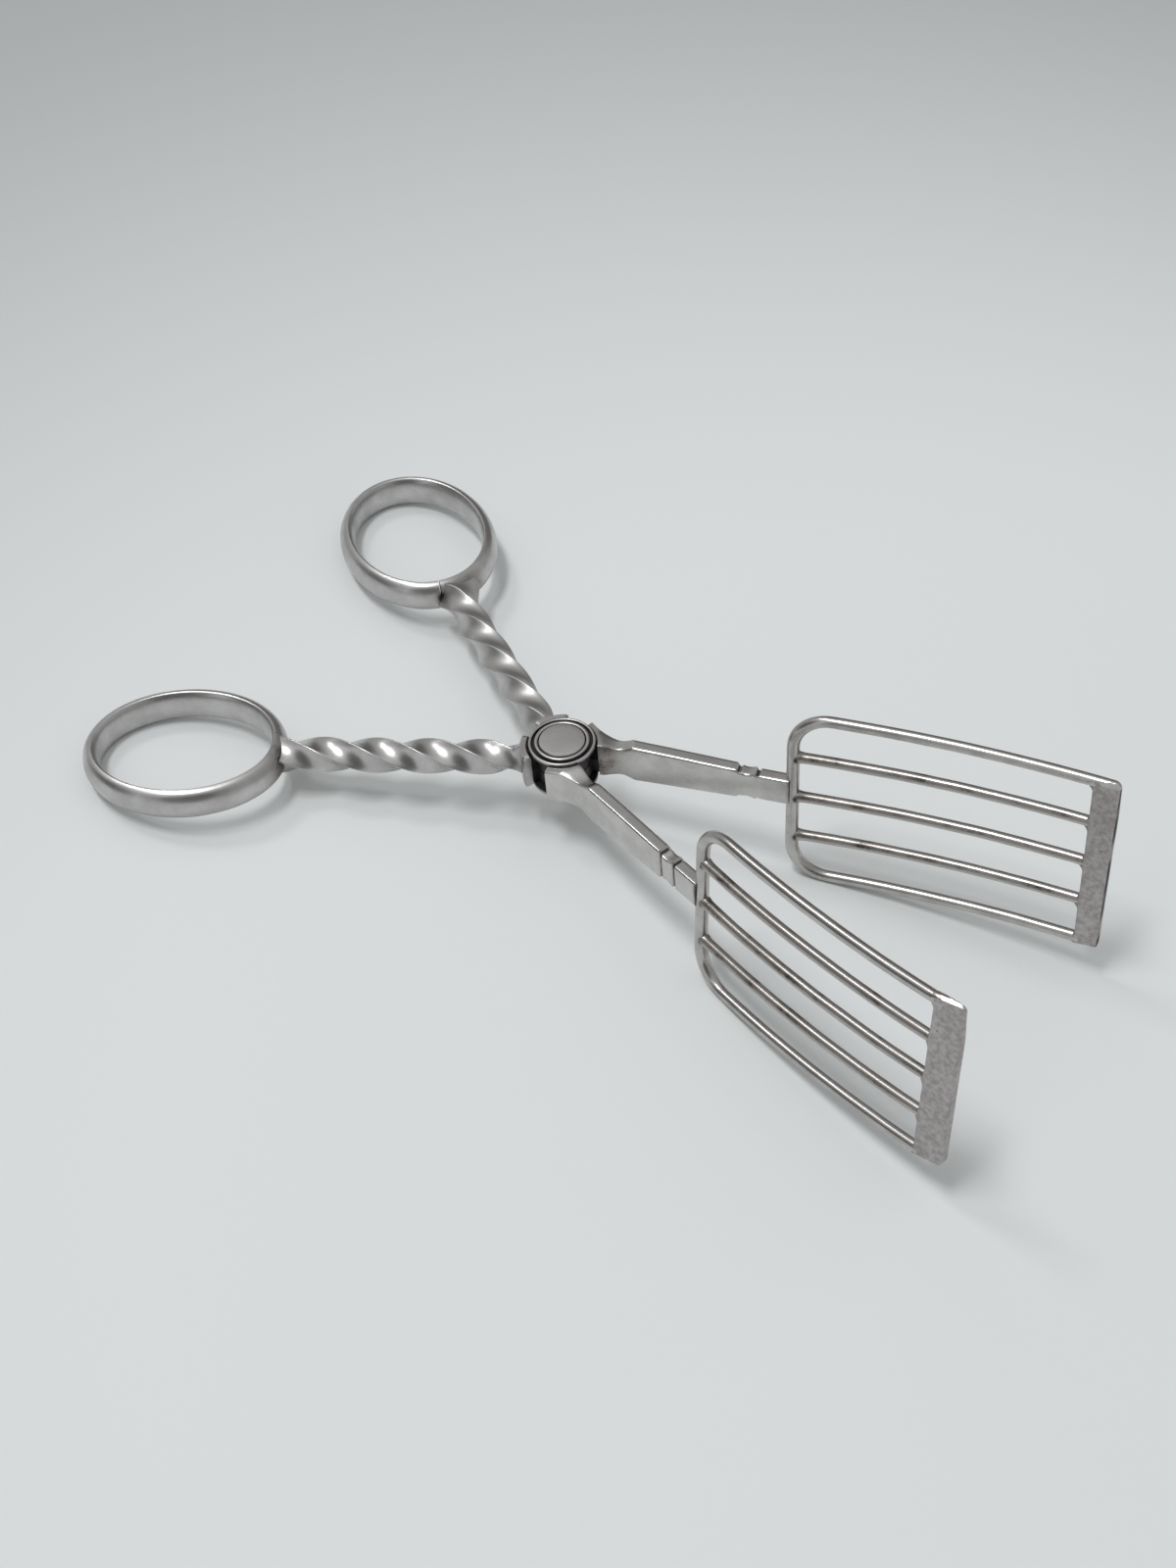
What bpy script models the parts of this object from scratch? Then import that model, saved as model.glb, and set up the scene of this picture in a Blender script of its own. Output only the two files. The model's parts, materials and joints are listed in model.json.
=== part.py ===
"""Pastry tongs: two crossed arms on one rivet, finger rings behind and upright wire grills in front.

Each arm is drawn about the pivot: x runs along the middle line towards the grills, y across it and z along
the rivet. Arm a carries the lower hub half, arm b is its mirror image with the upper one. The finished
tongs are then laid on the table, z = 0, on their rings and the heels of their grills.
"""

import math

import bmesh
import bpy
from mathutils import Vector

MM = 0.001

# Clearances, and how finely round stretches are drawn
SEAT_GAP = 0.3 * MM
HUG_GAP = 0.4 * MM
WELD = 0.001 * MM
ARC_STEPS = 8
WIRE_ROUNDNESS = 3
EDGE_SEGMENTS = 2
SMOOTH_ANGLE = math.radians(35.0)
EDGE_ANGLE = math.radians(50.0)

# Finger rings
RING_LENGTH = 42.2 * MM
RING_WIDTH = 33.2 * MM
RING_WALL = 3.3 * MM
RING_CREST = 1.1 * MM
RING_HEIGHT = 7.1 * MM
RING_STEPS = 44

# Twisted shanks
HANDLE_ANGLE = math.radians(30.0)
SHANK_LENGTH = 47.0 * MM
SHANK_SIDE = 5.2 * MM
SHANK_EDGE = 0.65 * MM
SHANK_CORNER_STEPS = 2
SHANK_SIDE_STEPS = 3
SHANK_TWIST = math.radians(420.0)
SHANK_START_TURN = math.radians(20.0)
SHANK_NECK = 4.0 * MM
SHANK_NECK_SCALE = 0.85
SHANK_STEPS = 40

# Pivot
HUB_HEIGHT = 8.2 * MM
LAP_RADIUS = 5.6 * MM
LAP_HEIGHT = 3.25 * MM
RIVET_RADIUS = 2.0 * MM
HEAD_RADIUS = 4.6 * MM
HEAD_HEIGHT = 0.7 * MM
WASHER_RADIUS = 6.7 * MM
WASHER_FLOOR = 0.4 * MM
WASHER_RING_WIDTH = 0.7 * MM
WASHER_RING_HEIGHT = 0.9 * MM
WASHER_RIM_WIDTH = 0.55 * MM
WASHER_RIM_HEIGHT = 0.6 * MM
TURNED_EDGE = 0.15 * MM
TURNED_STEPS = 32

# Collar plates on the shanks, their ends measured from the handle's line
COLLAR_THICKNESS = 1.5 * MM
COLLAR_INNER_ANGLE = math.radians(17.0)
COLLAR_OUTER_ANGLE = math.radians(33.0)
COLLAR_EDGE = 0.3 * MM

# Jaw arms, with the shoulder's ends measured from the arm's line
ARM_ANGLE = math.radians(16.6)
ARM_OFFSET = 3.0 * MM
ARM_LENGTH = 46.4 * MM
ARM_THICKNESS = 2.8 * MM
ARM_ROOT_HEIGHT = 9.0 * MM
ARM_TIP_HEIGHT = 7.4 * MM
SHOULDER_INNER_ANGLE = math.radians(8.0)
SHOULDER_OUTER_ANGLE = math.radians(62.0)
SHOULDER_LIP = 1.5 * MM
NECK_LENGTH = 6.4 * MM
NECK_HEIGHT = 7.2 * MM
END_BLOCK_LENGTH = 4.9 * MM
END_BLOCK_HEIGHT = 6.3 * MM
BEAD_LENGTH = 2.7 * MM
BEAD_HEIGHT = 6.8 * MM
BEAD_HOLLOW = 0.4 * MM
GROOVE_WIDTH = 1.1 * MM
GROOVE_DEPTH = 0.6 * MM

# Wire grills
GRILL_ANGLE = math.radians(14.0)
GRILL_LENGTH = 57.7 * MM
GRILL_HEIGHT = 40.2 * MM
GRILL_BOW = 1.4 * MM
GRILL_DROP = 1.6 * MM
GRILL_LEAN = math.radians(4.0)
CORNER_RADIUS = 7.5 * MM
FRAME_WIRE = 2.3 * MM
INNER_WIRE = 2.2 * MM
INNER_WIRES = 3
END_BAR_WIDTH = 5.5 * MM
END_BAR_THICKNESS = 2.3 * MM
END_BAR_EDGE = 0.35 * MM
RAIL_STEPS = 8
CORNER_STEPS = 5

# How closely the pitch of the lying tongs is found
PITCH_STEP = math.radians(1e-7)

# Worked out from the sizes above
HUG_RADIUS = WASHER_RADIUS + HUG_GAP
COLLAR_RADIUS = HUG_RADIUS + COLLAR_THICKNESS
SHANK_START = COLLAR_RADIUS + SEAT_GAP
RING_REACH = SHANK_START + SHANK_LENGTH + SEAT_GAP + RING_LENGTH / 2
LAP_TOP = SEAT_GAP / 2 + LAP_HEIGHT
RIVET_HOLE = RIVET_RADIUS + SEAT_GAP
ARM_END = ARM_LENGTH - FRAME_WIRE / 2 - SEAT_GAP
SHOULDER_END = HUG_RADIUS + SHOULDER_LIP / 2
NECK_PLACE = SHOULDER_END + NECK_LENGTH / 2
ARM_ROOT = SHOULDER_END + NECK_LENGTH
SIDES = {"a": 1, "b": -1}


def clear_scene():
    for item in list(bpy.data.objects):
        bpy.data.objects.remove(item)


def collection(name):
    made = bpy.data.collections.new(name)
    bpy.context.scene.collection.children.link(made)
    return made


def finish(name, colour, roughness):
    """A metal of its own for one piece."""
    material = bpy.data.materials.new(name)
    material.use_nodes = True
    shader = material.node_tree.nodes["Principled BSDF"]
    shader.inputs["Base Color"].default_value = (*colour, 1.0)
    shader.inputs["Metallic"].default_value = 1.0
    shader.inputs["Roughness"].default_value = roughness
    return material


def empty(name, parent):
    """A seat that carries the pieces parented to it."""
    seat = bpy.data.objects.new(name, None)
    PARTS.objects.link(seat)
    seat.parent = parent
    return seat


def piece(made, name, parent, colour, roughness):
    """Names a finished piece, hangs it on its seat and gives it its metal."""
    made.name = name
    made.data.name = name
    made.parent = parent
    made.data.materials.clear()
    made.data.materials.append(finish(name, colour, roughness))
    PARTS.objects.link(made)
    return made


def guide(made, name, parent):
    """A cutter or a profile: it shapes other pieces and isn't one itself."""
    made.name = name
    made.parent = parent
    made.hide_render = True
    made.display_type = "WIRE"
    GUIDES.objects.link(made)
    return made


def polar(radius, angle):
    return Vector((radius * math.cos(angle), radius * math.sin(angle), 0.0))


def arc(radius, start, end, steps):
    return [polar(radius, start + (end - start) * i / steps) for i in range(steps + 1)]


def quadratic(start, control, end, steps):
    """A curve from start to end that leans towards control."""
    points = []
    for i in range(steps + 1):
        t = i / steps
        points.append(start * (1 - t) ** 2 + control * 2 * t * (1 - t) + end * t ** 2)
    return points


def ease(start, end, t):
    """A smooth step from start to end as t runs from 0 to 1."""
    return start + (end - start) * (1 - math.cos(math.pi * t)) / 2


def new_curve(name, dimensions):
    curve = bpy.data.curves.new(name, "CURVE")
    curve.dimensions = dimensions
    return curve


def add_spline(curve, points, cyclic):
    spline = curve.splines.new("POLY")
    spline.points.add(len(points) - 1)
    for target, point in zip(spline.points, points):
        target.co = (*point, 1.0)
    spline.use_cyclic_u = cyclic
    return spline


def solid(curve):
    """The closed mesh of a curve, with its caps welded and its faces pointing out."""
    drawn = bpy.data.objects.new(curve.name, curve)
    bpy.context.scene.collection.objects.link(drawn)
    shape = drawn.evaluated_get(bpy.context.evaluated_depsgraph_get())
    mesh = bpy.data.meshes.new_from_object(shape)
    bpy.data.objects.remove(drawn)
    welded = bmesh.new()
    welded.from_mesh(mesh)
    bmesh.ops.remove_doubles(welded, verts=welded.verts, dist=WELD)
    bmesh.ops.recalc_face_normals(welded, faces=welded.faces)
    welded.to_mesh(mesh)
    welded.free()
    return bpy.data.objects.new(curve.name, mesh)


def smooth(made):
    made.data.shade_smooth()
    made.data.set_sharp_from_angle(angle=SMOOTH_ANGLE)
    return made


def plate(outlines, thickness):
    """A flat plate about z = 0: the first outline is its edge, the others are holes."""
    curve = new_curve("plate", "2D")
    curve.fill_mode = "BOTH"
    curve.extrude = thickness / 2
    for outline in outlines:
        add_spline(curve, outline, True)
    return solid(curve)


def wire(points, diameter):
    """A round wire with flat ends along the points."""
    curve = new_curve("wire", "3D")
    curve.bevel_depth = diameter / 2
    curve.bevel_resolution = WIRE_ROUNDNESS
    curve.use_fill_caps = True
    add_spline(curve, points, False)
    return smooth(solid(curve))


def swept(profile, points, cyclic, dimensions, tilts, radii):
    """A profile carried along the points, turned and scaled at each."""
    section = new_curve("section", "2D")
    add_spline(section, profile, True)
    section_object = guide(bpy.data.objects.new("section", section), "section", None)
    curve = new_curve("swept", dimensions)
    curve.bevel_mode = "OBJECT"
    curve.bevel_object = section_object
    curve.use_fill_caps = not cyclic
    spline = add_spline(curve, points, cyclic)
    for point, tilt, radius in zip(spline.points, tilts, radii):
        point.tilt = tilt
        point.radius = radius
    return smooth(solid(curve))


def turned(name, profile, closed):
    """A piece turned about z; the profile runs over the top and down its outer side."""
    mesh = bpy.data.meshes.new(name)
    outline = bmesh.new()
    corners = [outline.verts.new((radius, 0.0, height)) for radius, height in profile]
    for first, second in zip(corners, corners[1:]):
        outline.edges.new((first, second))
    if closed:
        outline.edges.new((corners[-1], corners[0]))
    outline.to_mesh(mesh)
    outline.free()
    made = bpy.data.objects.new(name, mesh)
    screw = made.modifiers.new("turn", "SCREW")
    screw.steps = TURNED_STEPS
    screw.render_steps = TURNED_STEPS
    screw.use_merge_vertices = True
    screw.merge_threshold = WELD
    return made


def rounded(made, width):
    bevel = made.modifiers.new("rounded edges", "BEVEL")
    bevel.width = width
    bevel.segments = EDGE_SEGMENTS
    bevel.limit_method = "ANGLE"
    bevel.angle_limit = EDGE_ANGLE
    return made


def combine(target, operation, other):
    boolean = target.modifiers.new(operation.lower(), "BOOLEAN")
    boolean.operation = operation
    boolean.solver = "EXACT"
    boolean.object = other


def ring_profile():
    """A section of the band: a shallow curve towards the finger at x = 0, a full one away from it at -x."""
    points = []
    for i in range(2 * ARC_STEPS):
        angle = math.pi * i / ARC_STEPS
        depth = RING_CREST if math.cos(angle) > 0 else RING_WALL - RING_CREST
        points.append(Vector((depth * math.cos(angle) - RING_CREST, RING_HEIGHT / 2 * math.sin(angle), 0.0)))
    return points


def finger_ring(arm, seat):
    """The oval band at the end of a handle."""
    length = RING_LENGTH / 2 - RING_WALL
    width = RING_WIDTH / 2 - RING_WALL
    turns = [2 * math.pi * i / RING_STEPS for i in range(RING_STEPS)]
    inside = [Vector((length * math.cos(turn), width * math.sin(turn), 0.0)) for turn in turns]
    made = swept(ring_profile(), inside, True, "2D", [0.0] * RING_STEPS, [1.0] * RING_STEPS)
    made.location = (RING_REACH, 0.0, 0.0)
    piece(made, f"finger_ring_{arm}", seat, (0.62, 0.61, 0.60), 0.32)


def shank_profile():
    """A section of the shank: a square with round corners, its flat sides drawn in equal steps."""
    core = SHANK_SIDE / 2 - SHANK_EDGE
    points = []
    for quarter in range(4):
        start = quarter * math.pi / 2
        centre = polar(core * math.sqrt(2.0), start + math.pi / 4)
        corner = arc(SHANK_EDGE, start, start + math.pi / 2, SHANK_CORNER_STEPS)
        points += [centre + point for point in corner]
        flat = points[-1]
        step = polar(2 * core / SHANK_SIDE_STEPS, start + math.pi)
        points += [flat + step * i for i in range(1, SHANK_SIDE_STEPS)]
    return points


def twisted_shank(arm, side, seat):
    """The square bar between ring and collar, evenly twisted and drawn in at both ends."""
    points = []
    tilts = []
    radii = []
    for i in range(SHANK_STEPS + 1):
        along = SHANK_LENGTH * i / SHANK_STEPS
        near_end = min(along, SHANK_LENGTH - along, SHANK_NECK) / SHANK_NECK
        points.append(Vector((SHANK_START + along, 0.0, 0.0)))
        tilts.append(side * (SHANK_START_TURN + SHANK_TWIST * i / SHANK_STEPS))
        radii.append(ease(SHANK_NECK_SCALE, 1.0, near_end))
    made = swept(shank_profile(), points, False, "3D", tilts, radii)
    piece(made, f"twisted_shank_{arm}", seat, (0.66, 0.65, 0.63), 0.25)


def shank_collar(arm, side, seat):
    """The curved plate between shank and hub; its longer end points away from the other handle."""
    start = -side * COLLAR_INNER_ANGLE
    end = side * COLLAR_OUTER_ANGLE
    outline = arc(HUG_RADIUS, start, end, ARC_STEPS) + arc(COLLAR_RADIUS, end, start, ARC_STEPS)
    made = rounded(plate([outline], HUB_HEIGHT), COLLAR_EDGE)
    piece(made, f"shank_collar_{arm}", seat, (0.58, 0.57, 0.56), 0.35)


def lap_outline(side):
    """The hub half's edge: a disc that reaches out to the shank's collar and into the shoulder."""
    handle = side * (math.pi + HANDLE_ANGLE)
    blade = side * ARM_ANGLE
    inset = math.asin(SEAT_GAP / LAP_RADIUS)
    collar = (handle - side * (COLLAR_INNER_ANGLE - inset), handle + side * (COLLAR_OUTER_ANGLE - inset))
    shoulder = (blade + side * (SHOULDER_INNER_ANGLE + inset), blade + side * (SHOULDER_OUTER_ANGLE - inset))
    full = side * 2 * math.pi
    outline = arc(SHOULDER_END, *shoulder, ARC_STEPS)
    outline += arc(LAP_RADIUS, shoulder[1], collar[0], ARC_STEPS)
    outline += arc(HUG_RADIUS - SEAT_GAP, *collar, ARC_STEPS)
    outline += arc(LAP_RADIUS, collar[1], shoulder[0] + full, ARC_STEPS)
    return outline


def arm_outline(side):
    """The arm from above, x along it: the shoulder hugs the cap, and grooves cut the outer face only."""
    inner = ARM_OFFSET - ARM_THICKNESS / 2
    outer = ARM_OFFSET + ARM_THICKNESS / 2
    corner = polar(HUG_RADIUS + SHOULDER_LIP, SHOULDER_OUTER_ANGLE)
    heel = polar(HUG_RADIUS + SHOULDER_LIP, SHOULDER_INNER_ANGLE)
    neck = Vector((NECK_PLACE, outer, 0.0))
    bend = Vector(((corner.x + neck.x) / 2, outer, 0.0))
    points = arc(HUG_RADIUS, SHOULDER_INNER_ANGLE, SHOULDER_OUTER_ANGLE, ARC_STEPS)
    points += quadratic(corner, bend, neck, ARC_STEPS)
    for start in groove_starts():
        points.append(Vector((start, outer, 0.0)))
        points.append(Vector((start + GROOVE_WIDTH / 2, outer - GROOVE_DEPTH, 0.0)))
        points.append(Vector((start + GROOVE_WIDTH, outer, 0.0)))
    points.append(Vector((ARM_END, outer, 0.0)))
    points.append(Vector((ARM_END, inner, 0.0)))
    points.append(Vector((neck.x, inner, 0.0)))
    points.append(heel)
    return [Vector((point.x, side * point.y, 0.0)) for point in points]


def groove_starts():
    """Where the grooves before and after the bead begin, along the arm."""
    second = ARM_END - END_BLOCK_LENGTH - GROOVE_WIDTH
    return second - BEAD_LENGTH - GROOVE_WIDTH, second


def arm_heights():
    """Places along the arm and the arm's height there, from the shoulder to the grill."""
    first, second = groove_starts()
    heights = [(0.0, HUB_HEIGHT)]
    for i in range(ARC_STEPS):
        t = i / ARC_STEPS
        heights.append((SHOULDER_END + (NECK_PLACE - SHOULDER_END) * t, ease(HUB_HEIGHT, NECK_HEIGHT, t)))
    for i in range(ARC_STEPS + 1):
        t = i / ARC_STEPS
        heights.append((NECK_PLACE + (ARM_ROOT - NECK_PLACE) * t, ease(NECK_HEIGHT, ARM_ROOT_HEIGHT, t)))
    heights.append((first, ARM_TIP_HEIGHT))
    heights.append((first + GROOVE_WIDTH / 2, BEAD_HEIGHT - 2 * GROOVE_DEPTH))
    heights.append((first + GROOVE_WIDTH, BEAD_HEIGHT))
    heights.append((first + GROOVE_WIDTH + BEAD_LENGTH / 2, BEAD_HEIGHT - 2 * BEAD_HOLLOW))
    heights.append((second, BEAD_HEIGHT))
    heights.append((second + GROOVE_WIDTH / 2, END_BLOCK_HEIGHT - 2 * GROOVE_DEPTH))
    heights.append((second + GROOVE_WIDTH, END_BLOCK_HEIGHT))
    heights.append((ARM_END + SEAT_GAP, END_BLOCK_HEIGHT))
    return heights


def jaw_arm(arm, side, pivot):
    """Hub half, shoulder, tapering arm, bead and end block in one forging."""
    seat = empty(f"jaw_line_{arm}", pivot)
    seat.rotation_euler = (0.0, 0.0, side * ARM_ANGLE)
    heights = arm_heights()
    tallest = max(height for along, height in heights)
    made = plate([arm_outline(side)], 2 * tallest)
    top = [Vector((along, height / 2, 0.0)) for along, height in heights]
    bottom = [Vector((along, -height / 2, 0.0)) for along, height in reversed(heights)]
    profile = guide(plate([top + bottom], 4 * COLLAR_RADIUS), f"jaw_profile_{arm}", seat)
    profile.rotation_euler = (math.pi / 2, 0.0, 0.0)
    combine(made, "INTERSECT", profile)
    hole = arc(RIVET_HOLE, 0.0, 2 * math.pi, TURNED_STEPS)[:-1]
    lap = guide(plate([lap_outline(side), hole], LAP_HEIGHT), f"hub_half_{arm}", pivot)
    lap.location = (0.0, 0.0, -side * (LAP_TOP - LAP_HEIGHT / 2))
    combine(made, "UNION", lap)
    piece(made, f"jaw_arm_{arm}", seat, (0.64, 0.63, 0.61), 0.28)


def bow(along, side):
    """How far the grill stands outside its straight line at a place along it."""
    t = along / GRILL_LENGTH
    return side * 4 * GRILL_BOW * t * (1 - t)


def grill_rail(start, end, height, side):
    """Points along a bowed rail or wire."""
    places = [start + (end - start) * i / RAIL_STEPS for i in range(RAIL_STEPS + 1)]
    return [Vector((along, bow(along, side), height)) for along in places]


def grill_corner(height, side):
    """Points round the bend between a rail and the back bar, from the rail's end."""
    up = math.copysign(1.0, height)
    points = []
    for i in range(1, CORNER_STEPS):
        angle = math.pi / 2 * i / CORNER_STEPS
        along = CORNER_RADIUS * (1 - math.sin(angle))
        level = height - up * CORNER_RADIUS * (1 - math.cos(angle))
        points.append(Vector((along, bow(along, side), level)))
    return points


def grill(arm, side, pivot):
    """The upright grill: a U of wire, inner wires and a flat end bar, all bowed outwards."""
    seat = empty(f"grill_seat_{arm}", pivot)
    start = polar(ARM_LENGTH, side * ARM_ANGLE) + polar(ARM_OFFSET, side * (ARM_ANGLE + math.pi / 2))
    seat.location = (start.x, start.y, -GRILL_DROP)
    seat.rotation_euler = (-GRILL_LEAN, 0.0, side * GRILL_ANGLE)
    half = GRILL_HEIGHT / 2
    rail_end = GRILL_LENGTH - SEAT_GAP
    top = grill_rail(rail_end, CORNER_RADIUS, half, side) + grill_corner(half, side)
    bottom = grill_rail(rail_end, CORNER_RADIUS, -half, side) + grill_corner(-half, side)
    back = [Vector((0.0, 0.0, half - CORNER_RADIUS)), Vector((0.0, 0.0, CORNER_RADIUS - half))]
    frame = wire(top + back + bottom[::-1], FRAME_WIRE)
    piece(frame, f"grill_frame_{arm}", seat, (0.60, 0.59, 0.58), 0.3)
    wire_start = FRAME_WIRE / 2 + SEAT_GAP
    for number in range(1, INNER_WIRES + 1):
        height = half - GRILL_HEIGHT * number / (INNER_WIRES + 1)
        inner = wire(grill_rail(wire_start, rail_end, height, side), INNER_WIRE)
        piece(inner, f"grill_wire_{arm}_{number}", seat, (0.60, 0.59, 0.58), 0.3)
    end_bar(arm, side, seat)


def end_bar(arm, side, seat):
    """The flat bar across the front of a grill, its width along the rails' last direction."""
    bpy.ops.mesh.primitive_cube_add(size=1.0)
    made = bpy.context.object
    bpy.context.collection.objects.unlink(made)
    size = Vector((END_BAR_WIDTH, END_BAR_THICKNESS, GRILL_HEIGHT + FRAME_WIRE))
    for corner in made.data.vertices:
        corner.co = corner.co * size
    slope = math.atan2(-side * 4 * GRILL_BOW, GRILL_LENGTH)
    made.location = Vector((GRILL_LENGTH, 0.0, 0.0)) + polar(END_BAR_WIDTH / 2, slope)
    made.rotation_euler = (0.0, 0.0, slope)
    rounded(made, END_BAR_EDGE)
    piece(made, f"end_bar_{arm}", seat, (0.60, 0.57, 0.56), 0.38)


def pivot_rivet(seat):
    """The shaft through both hub halves, with a flat head at each end."""
    under = LAP_TOP + SEAT_GAP + WASHER_FLOOR + SEAT_GAP
    top = under + HEAD_HEIGHT
    upper = [(0.0, top), (HEAD_RADIUS - TURNED_EDGE, top), (HEAD_RADIUS, top - TURNED_EDGE),
             (HEAD_RADIUS, under), (RIVET_RADIUS, under)]
    lower = [(radius, -height) for radius, height in reversed(upper)]
    made = turned("pivot_rivet", upper + lower, False)
    smooth(made)
    piece(made, "pivot_rivet", seat, (0.60, 0.58, 0.57), 0.35)


def pivot_washer(name, seat, up):
    """The turned washer round a rivet head: a raised ring, a groove and an outer rim."""
    base = LAP_TOP + SEAT_GAP
    floor = base + WASHER_FLOOR
    ring_inner = HEAD_RADIUS + SEAT_GAP
    ring_outer = ring_inner + WASHER_RING_WIDTH
    rim_inner = WASHER_RADIUS - WASHER_RIM_WIDTH
    ring_top = floor + WASHER_RING_HEIGHT
    rim_top = floor + WASHER_RIM_HEIGHT
    profile = [(RIVET_HOLE, floor), (ring_inner, floor), (ring_inner, ring_top - TURNED_EDGE),
               (ring_inner + TURNED_EDGE, ring_top), (ring_outer - TURNED_EDGE, ring_top),
               (ring_outer, ring_top - TURNED_EDGE), (ring_outer, floor), (rim_inner, floor),
               (rim_inner, rim_top), (WASHER_RADIUS - TURNED_EDGE, rim_top),
               (WASHER_RADIUS, rim_top - TURNED_EDGE), (WASHER_RADIUS, base), (RIVET_HOLE, base)]
    if not up:
        profile = [(radius, -height) for radius, height in reversed(profile)]
    piece(smooth(turned(name, profile, True)), name, seat, (0.56, 0.55, 0.54), 0.35)


def world_points(names):
    """Every corner of the named pieces as they now stand."""
    graph = bpy.context.evaluated_depsgraph_get()
    points = []
    for made in PARTS.objects:
        if made.type == "MESH" and made.name.startswith(names):
            shape = made.evaluated_get(graph)
            points += [shape.matrix_world @ corner.co for corner in shape.data.vertices]
    return points


def lay_down(tongs):
    """Pitches the tongs until rings and grills touch one level, which becomes z = 0 under their middle."""
    rings = world_points("finger_ring")
    grills = world_points(("grill_frame", "end_bar"))
    low, high = 0.0, math.pi / 4
    while high - low > PITCH_STEP:
        pitch = (low + high) / 2
        ring_level = min(point.x * math.sin(pitch) + point.z * math.cos(pitch) for point in rings)
        grill_level = min(point.x * math.sin(pitch) + point.z * math.cos(pitch) for point in grills)
        if grill_level < ring_level:
            low = pitch
        else:
            high = pitch
    tongs.rotation_euler = (0.0, -pitch, 0.0)
    bpy.context.view_layer.update()
    points = world_points("")
    lowest = Vector([min(point[axis] for point in points) for axis in range(3)])
    highest = Vector([max(point[axis] for point in points) for axis in range(3)])
    middle = (lowest + highest) / 2
    tongs.location = (-middle.x, -middle.y, -lowest.z)


clear_scene()
PARTS = collection("pastry_tongs")
GUIDES = collection("guides")
TONGS = empty("tongs", None)
for ARM, SIDE in SIDES.items():
    PIVOT = empty(f"pivot_{ARM}", TONGS)
    HANDLE = empty(f"handle_line_{ARM}", PIVOT)
    HANDLE.rotation_euler = (0.0, 0.0, math.pi + SIDE * HANDLE_ANGLE)
    finger_ring(ARM, HANDLE)
    twisted_shank(ARM, SIDE, HANDLE)
    shank_collar(ARM, SIDE, HANDLE)
    jaw_arm(ARM, SIDE, PIVOT)
    grill(ARM, SIDE, PIVOT)
RIVET_SEAT = empty("rivet_seat", TONGS)
pivot_rivet(RIVET_SEAT)
pivot_washer("pivot_washer_top", RIVET_SEAT, True)
pivot_washer("pivot_washer_bottom", RIVET_SEAT, False)
bpy.context.view_layer.update()
lay_down(TONGS)
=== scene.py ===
import json
import math

import bmesh
import bpy
from mathutils import Matrix, Vector, noise


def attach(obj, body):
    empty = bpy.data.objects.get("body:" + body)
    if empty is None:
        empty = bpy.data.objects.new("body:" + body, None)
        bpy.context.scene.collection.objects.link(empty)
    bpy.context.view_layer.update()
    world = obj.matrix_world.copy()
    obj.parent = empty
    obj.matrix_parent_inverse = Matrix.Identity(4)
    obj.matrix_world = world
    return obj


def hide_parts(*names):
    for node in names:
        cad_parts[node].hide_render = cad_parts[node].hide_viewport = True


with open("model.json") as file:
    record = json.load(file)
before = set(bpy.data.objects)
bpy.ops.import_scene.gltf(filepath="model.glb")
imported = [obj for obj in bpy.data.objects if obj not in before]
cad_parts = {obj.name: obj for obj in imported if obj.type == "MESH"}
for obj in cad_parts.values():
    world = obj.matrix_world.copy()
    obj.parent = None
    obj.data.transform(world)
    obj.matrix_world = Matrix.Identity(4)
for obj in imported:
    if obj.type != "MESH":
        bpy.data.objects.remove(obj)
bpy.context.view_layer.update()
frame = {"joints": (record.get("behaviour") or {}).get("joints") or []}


# Finger rings: two oval bands in satin silver plate, one for a finger and one for the thumb.
# Each is a bar, full outside and nearly flat inside, bent until its end butts against its own
# root, where the seam shows. It is soldered to the twisted shank there.
MM = 0.001
ARMS = {"a": 1, "b": -1}
RING_LENGTH = 42.2 * MM
RING_WIDTH = 33.2 * MM
RING_WALL = 3.3 * MM
RING_CREST = 1.1 * MM
RING_HEIGHT = 7.1 * MM
RING_REACH = 77.3 * MM
RING_STATIONS = 180
RING_ROUND = 14
SEAM_ANGLE = math.radians(170.5)
SEAM_GAP = {1: math.radians(0.10), -1: math.radians(0.55)}
# Round the seam: tarnish with a painted dark reflection on the belly, darker and wider on ring b.
SEAM_TARNISH_AND_REFLECTION = {1: 0.15, -1: 0.65}
SEAM_REFLECTION_REACH = {1: 2.2 * MM, -1: 6.0 * MM}
SEAM_MOTTLE = 300.0
SEAM_NEAR = 5.0 * MM
SEAM_FACING = 0.8
ROOT_ASIDE = 2.5 * MM
# Patina at the root, made darker and wider to paint the dark reflection on the belly as well.
ROOT_PATINA_AND_REFLECTION = 0.70
ROOT_PATINA_AND_REFLECTION_REACH = 10.0 * MM
HANDLE_ANGLE = math.radians(30.0)
HAND_WORK = 0.035 * MM
HAND_PITCH = 140.0
HAND_SEED = 7
SMOOTH_ANGLE = math.radians(28.0)
RING_BRIGHT = (0.58, 0.572, 0.564)
RING_DULL = (0.48, 0.47, 0.463)
RING_GLOSS = 0.27
RING_WEAR = 1.0
RING_MOTTLE = 210.0
GRAIN = 1900.0
HAIRLINES = (((0.2, 0.4, 0.9), (70.0, 3600.0, 3600.0)),
             ((0.7, 1.1, 2.3), (110.0, 2900.0, 2900.0)))
HAIRLINE_RANGE = (0.60, 0.72)
SECOND_HAIRLINES = 0.7
PITS = 380.0
PIT_RANGE = (0.06, 0.11)
PIT_PATCHES = 95.0
PIT_PATCH_RANGE = (0.58, 0.66)
PIT_COLOUR = (0.10, 0.085, 0.075)
TONE_RANGE = (0.34, 0.68)
GRAIN_TONE = 0.10
SCRATCH_BRIGHT = 0.22
PIT_DARK = 0.75
RAGGED_BY_CLOUD = 3.0
RAGGED_BY_GRAIN = 0.5
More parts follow.
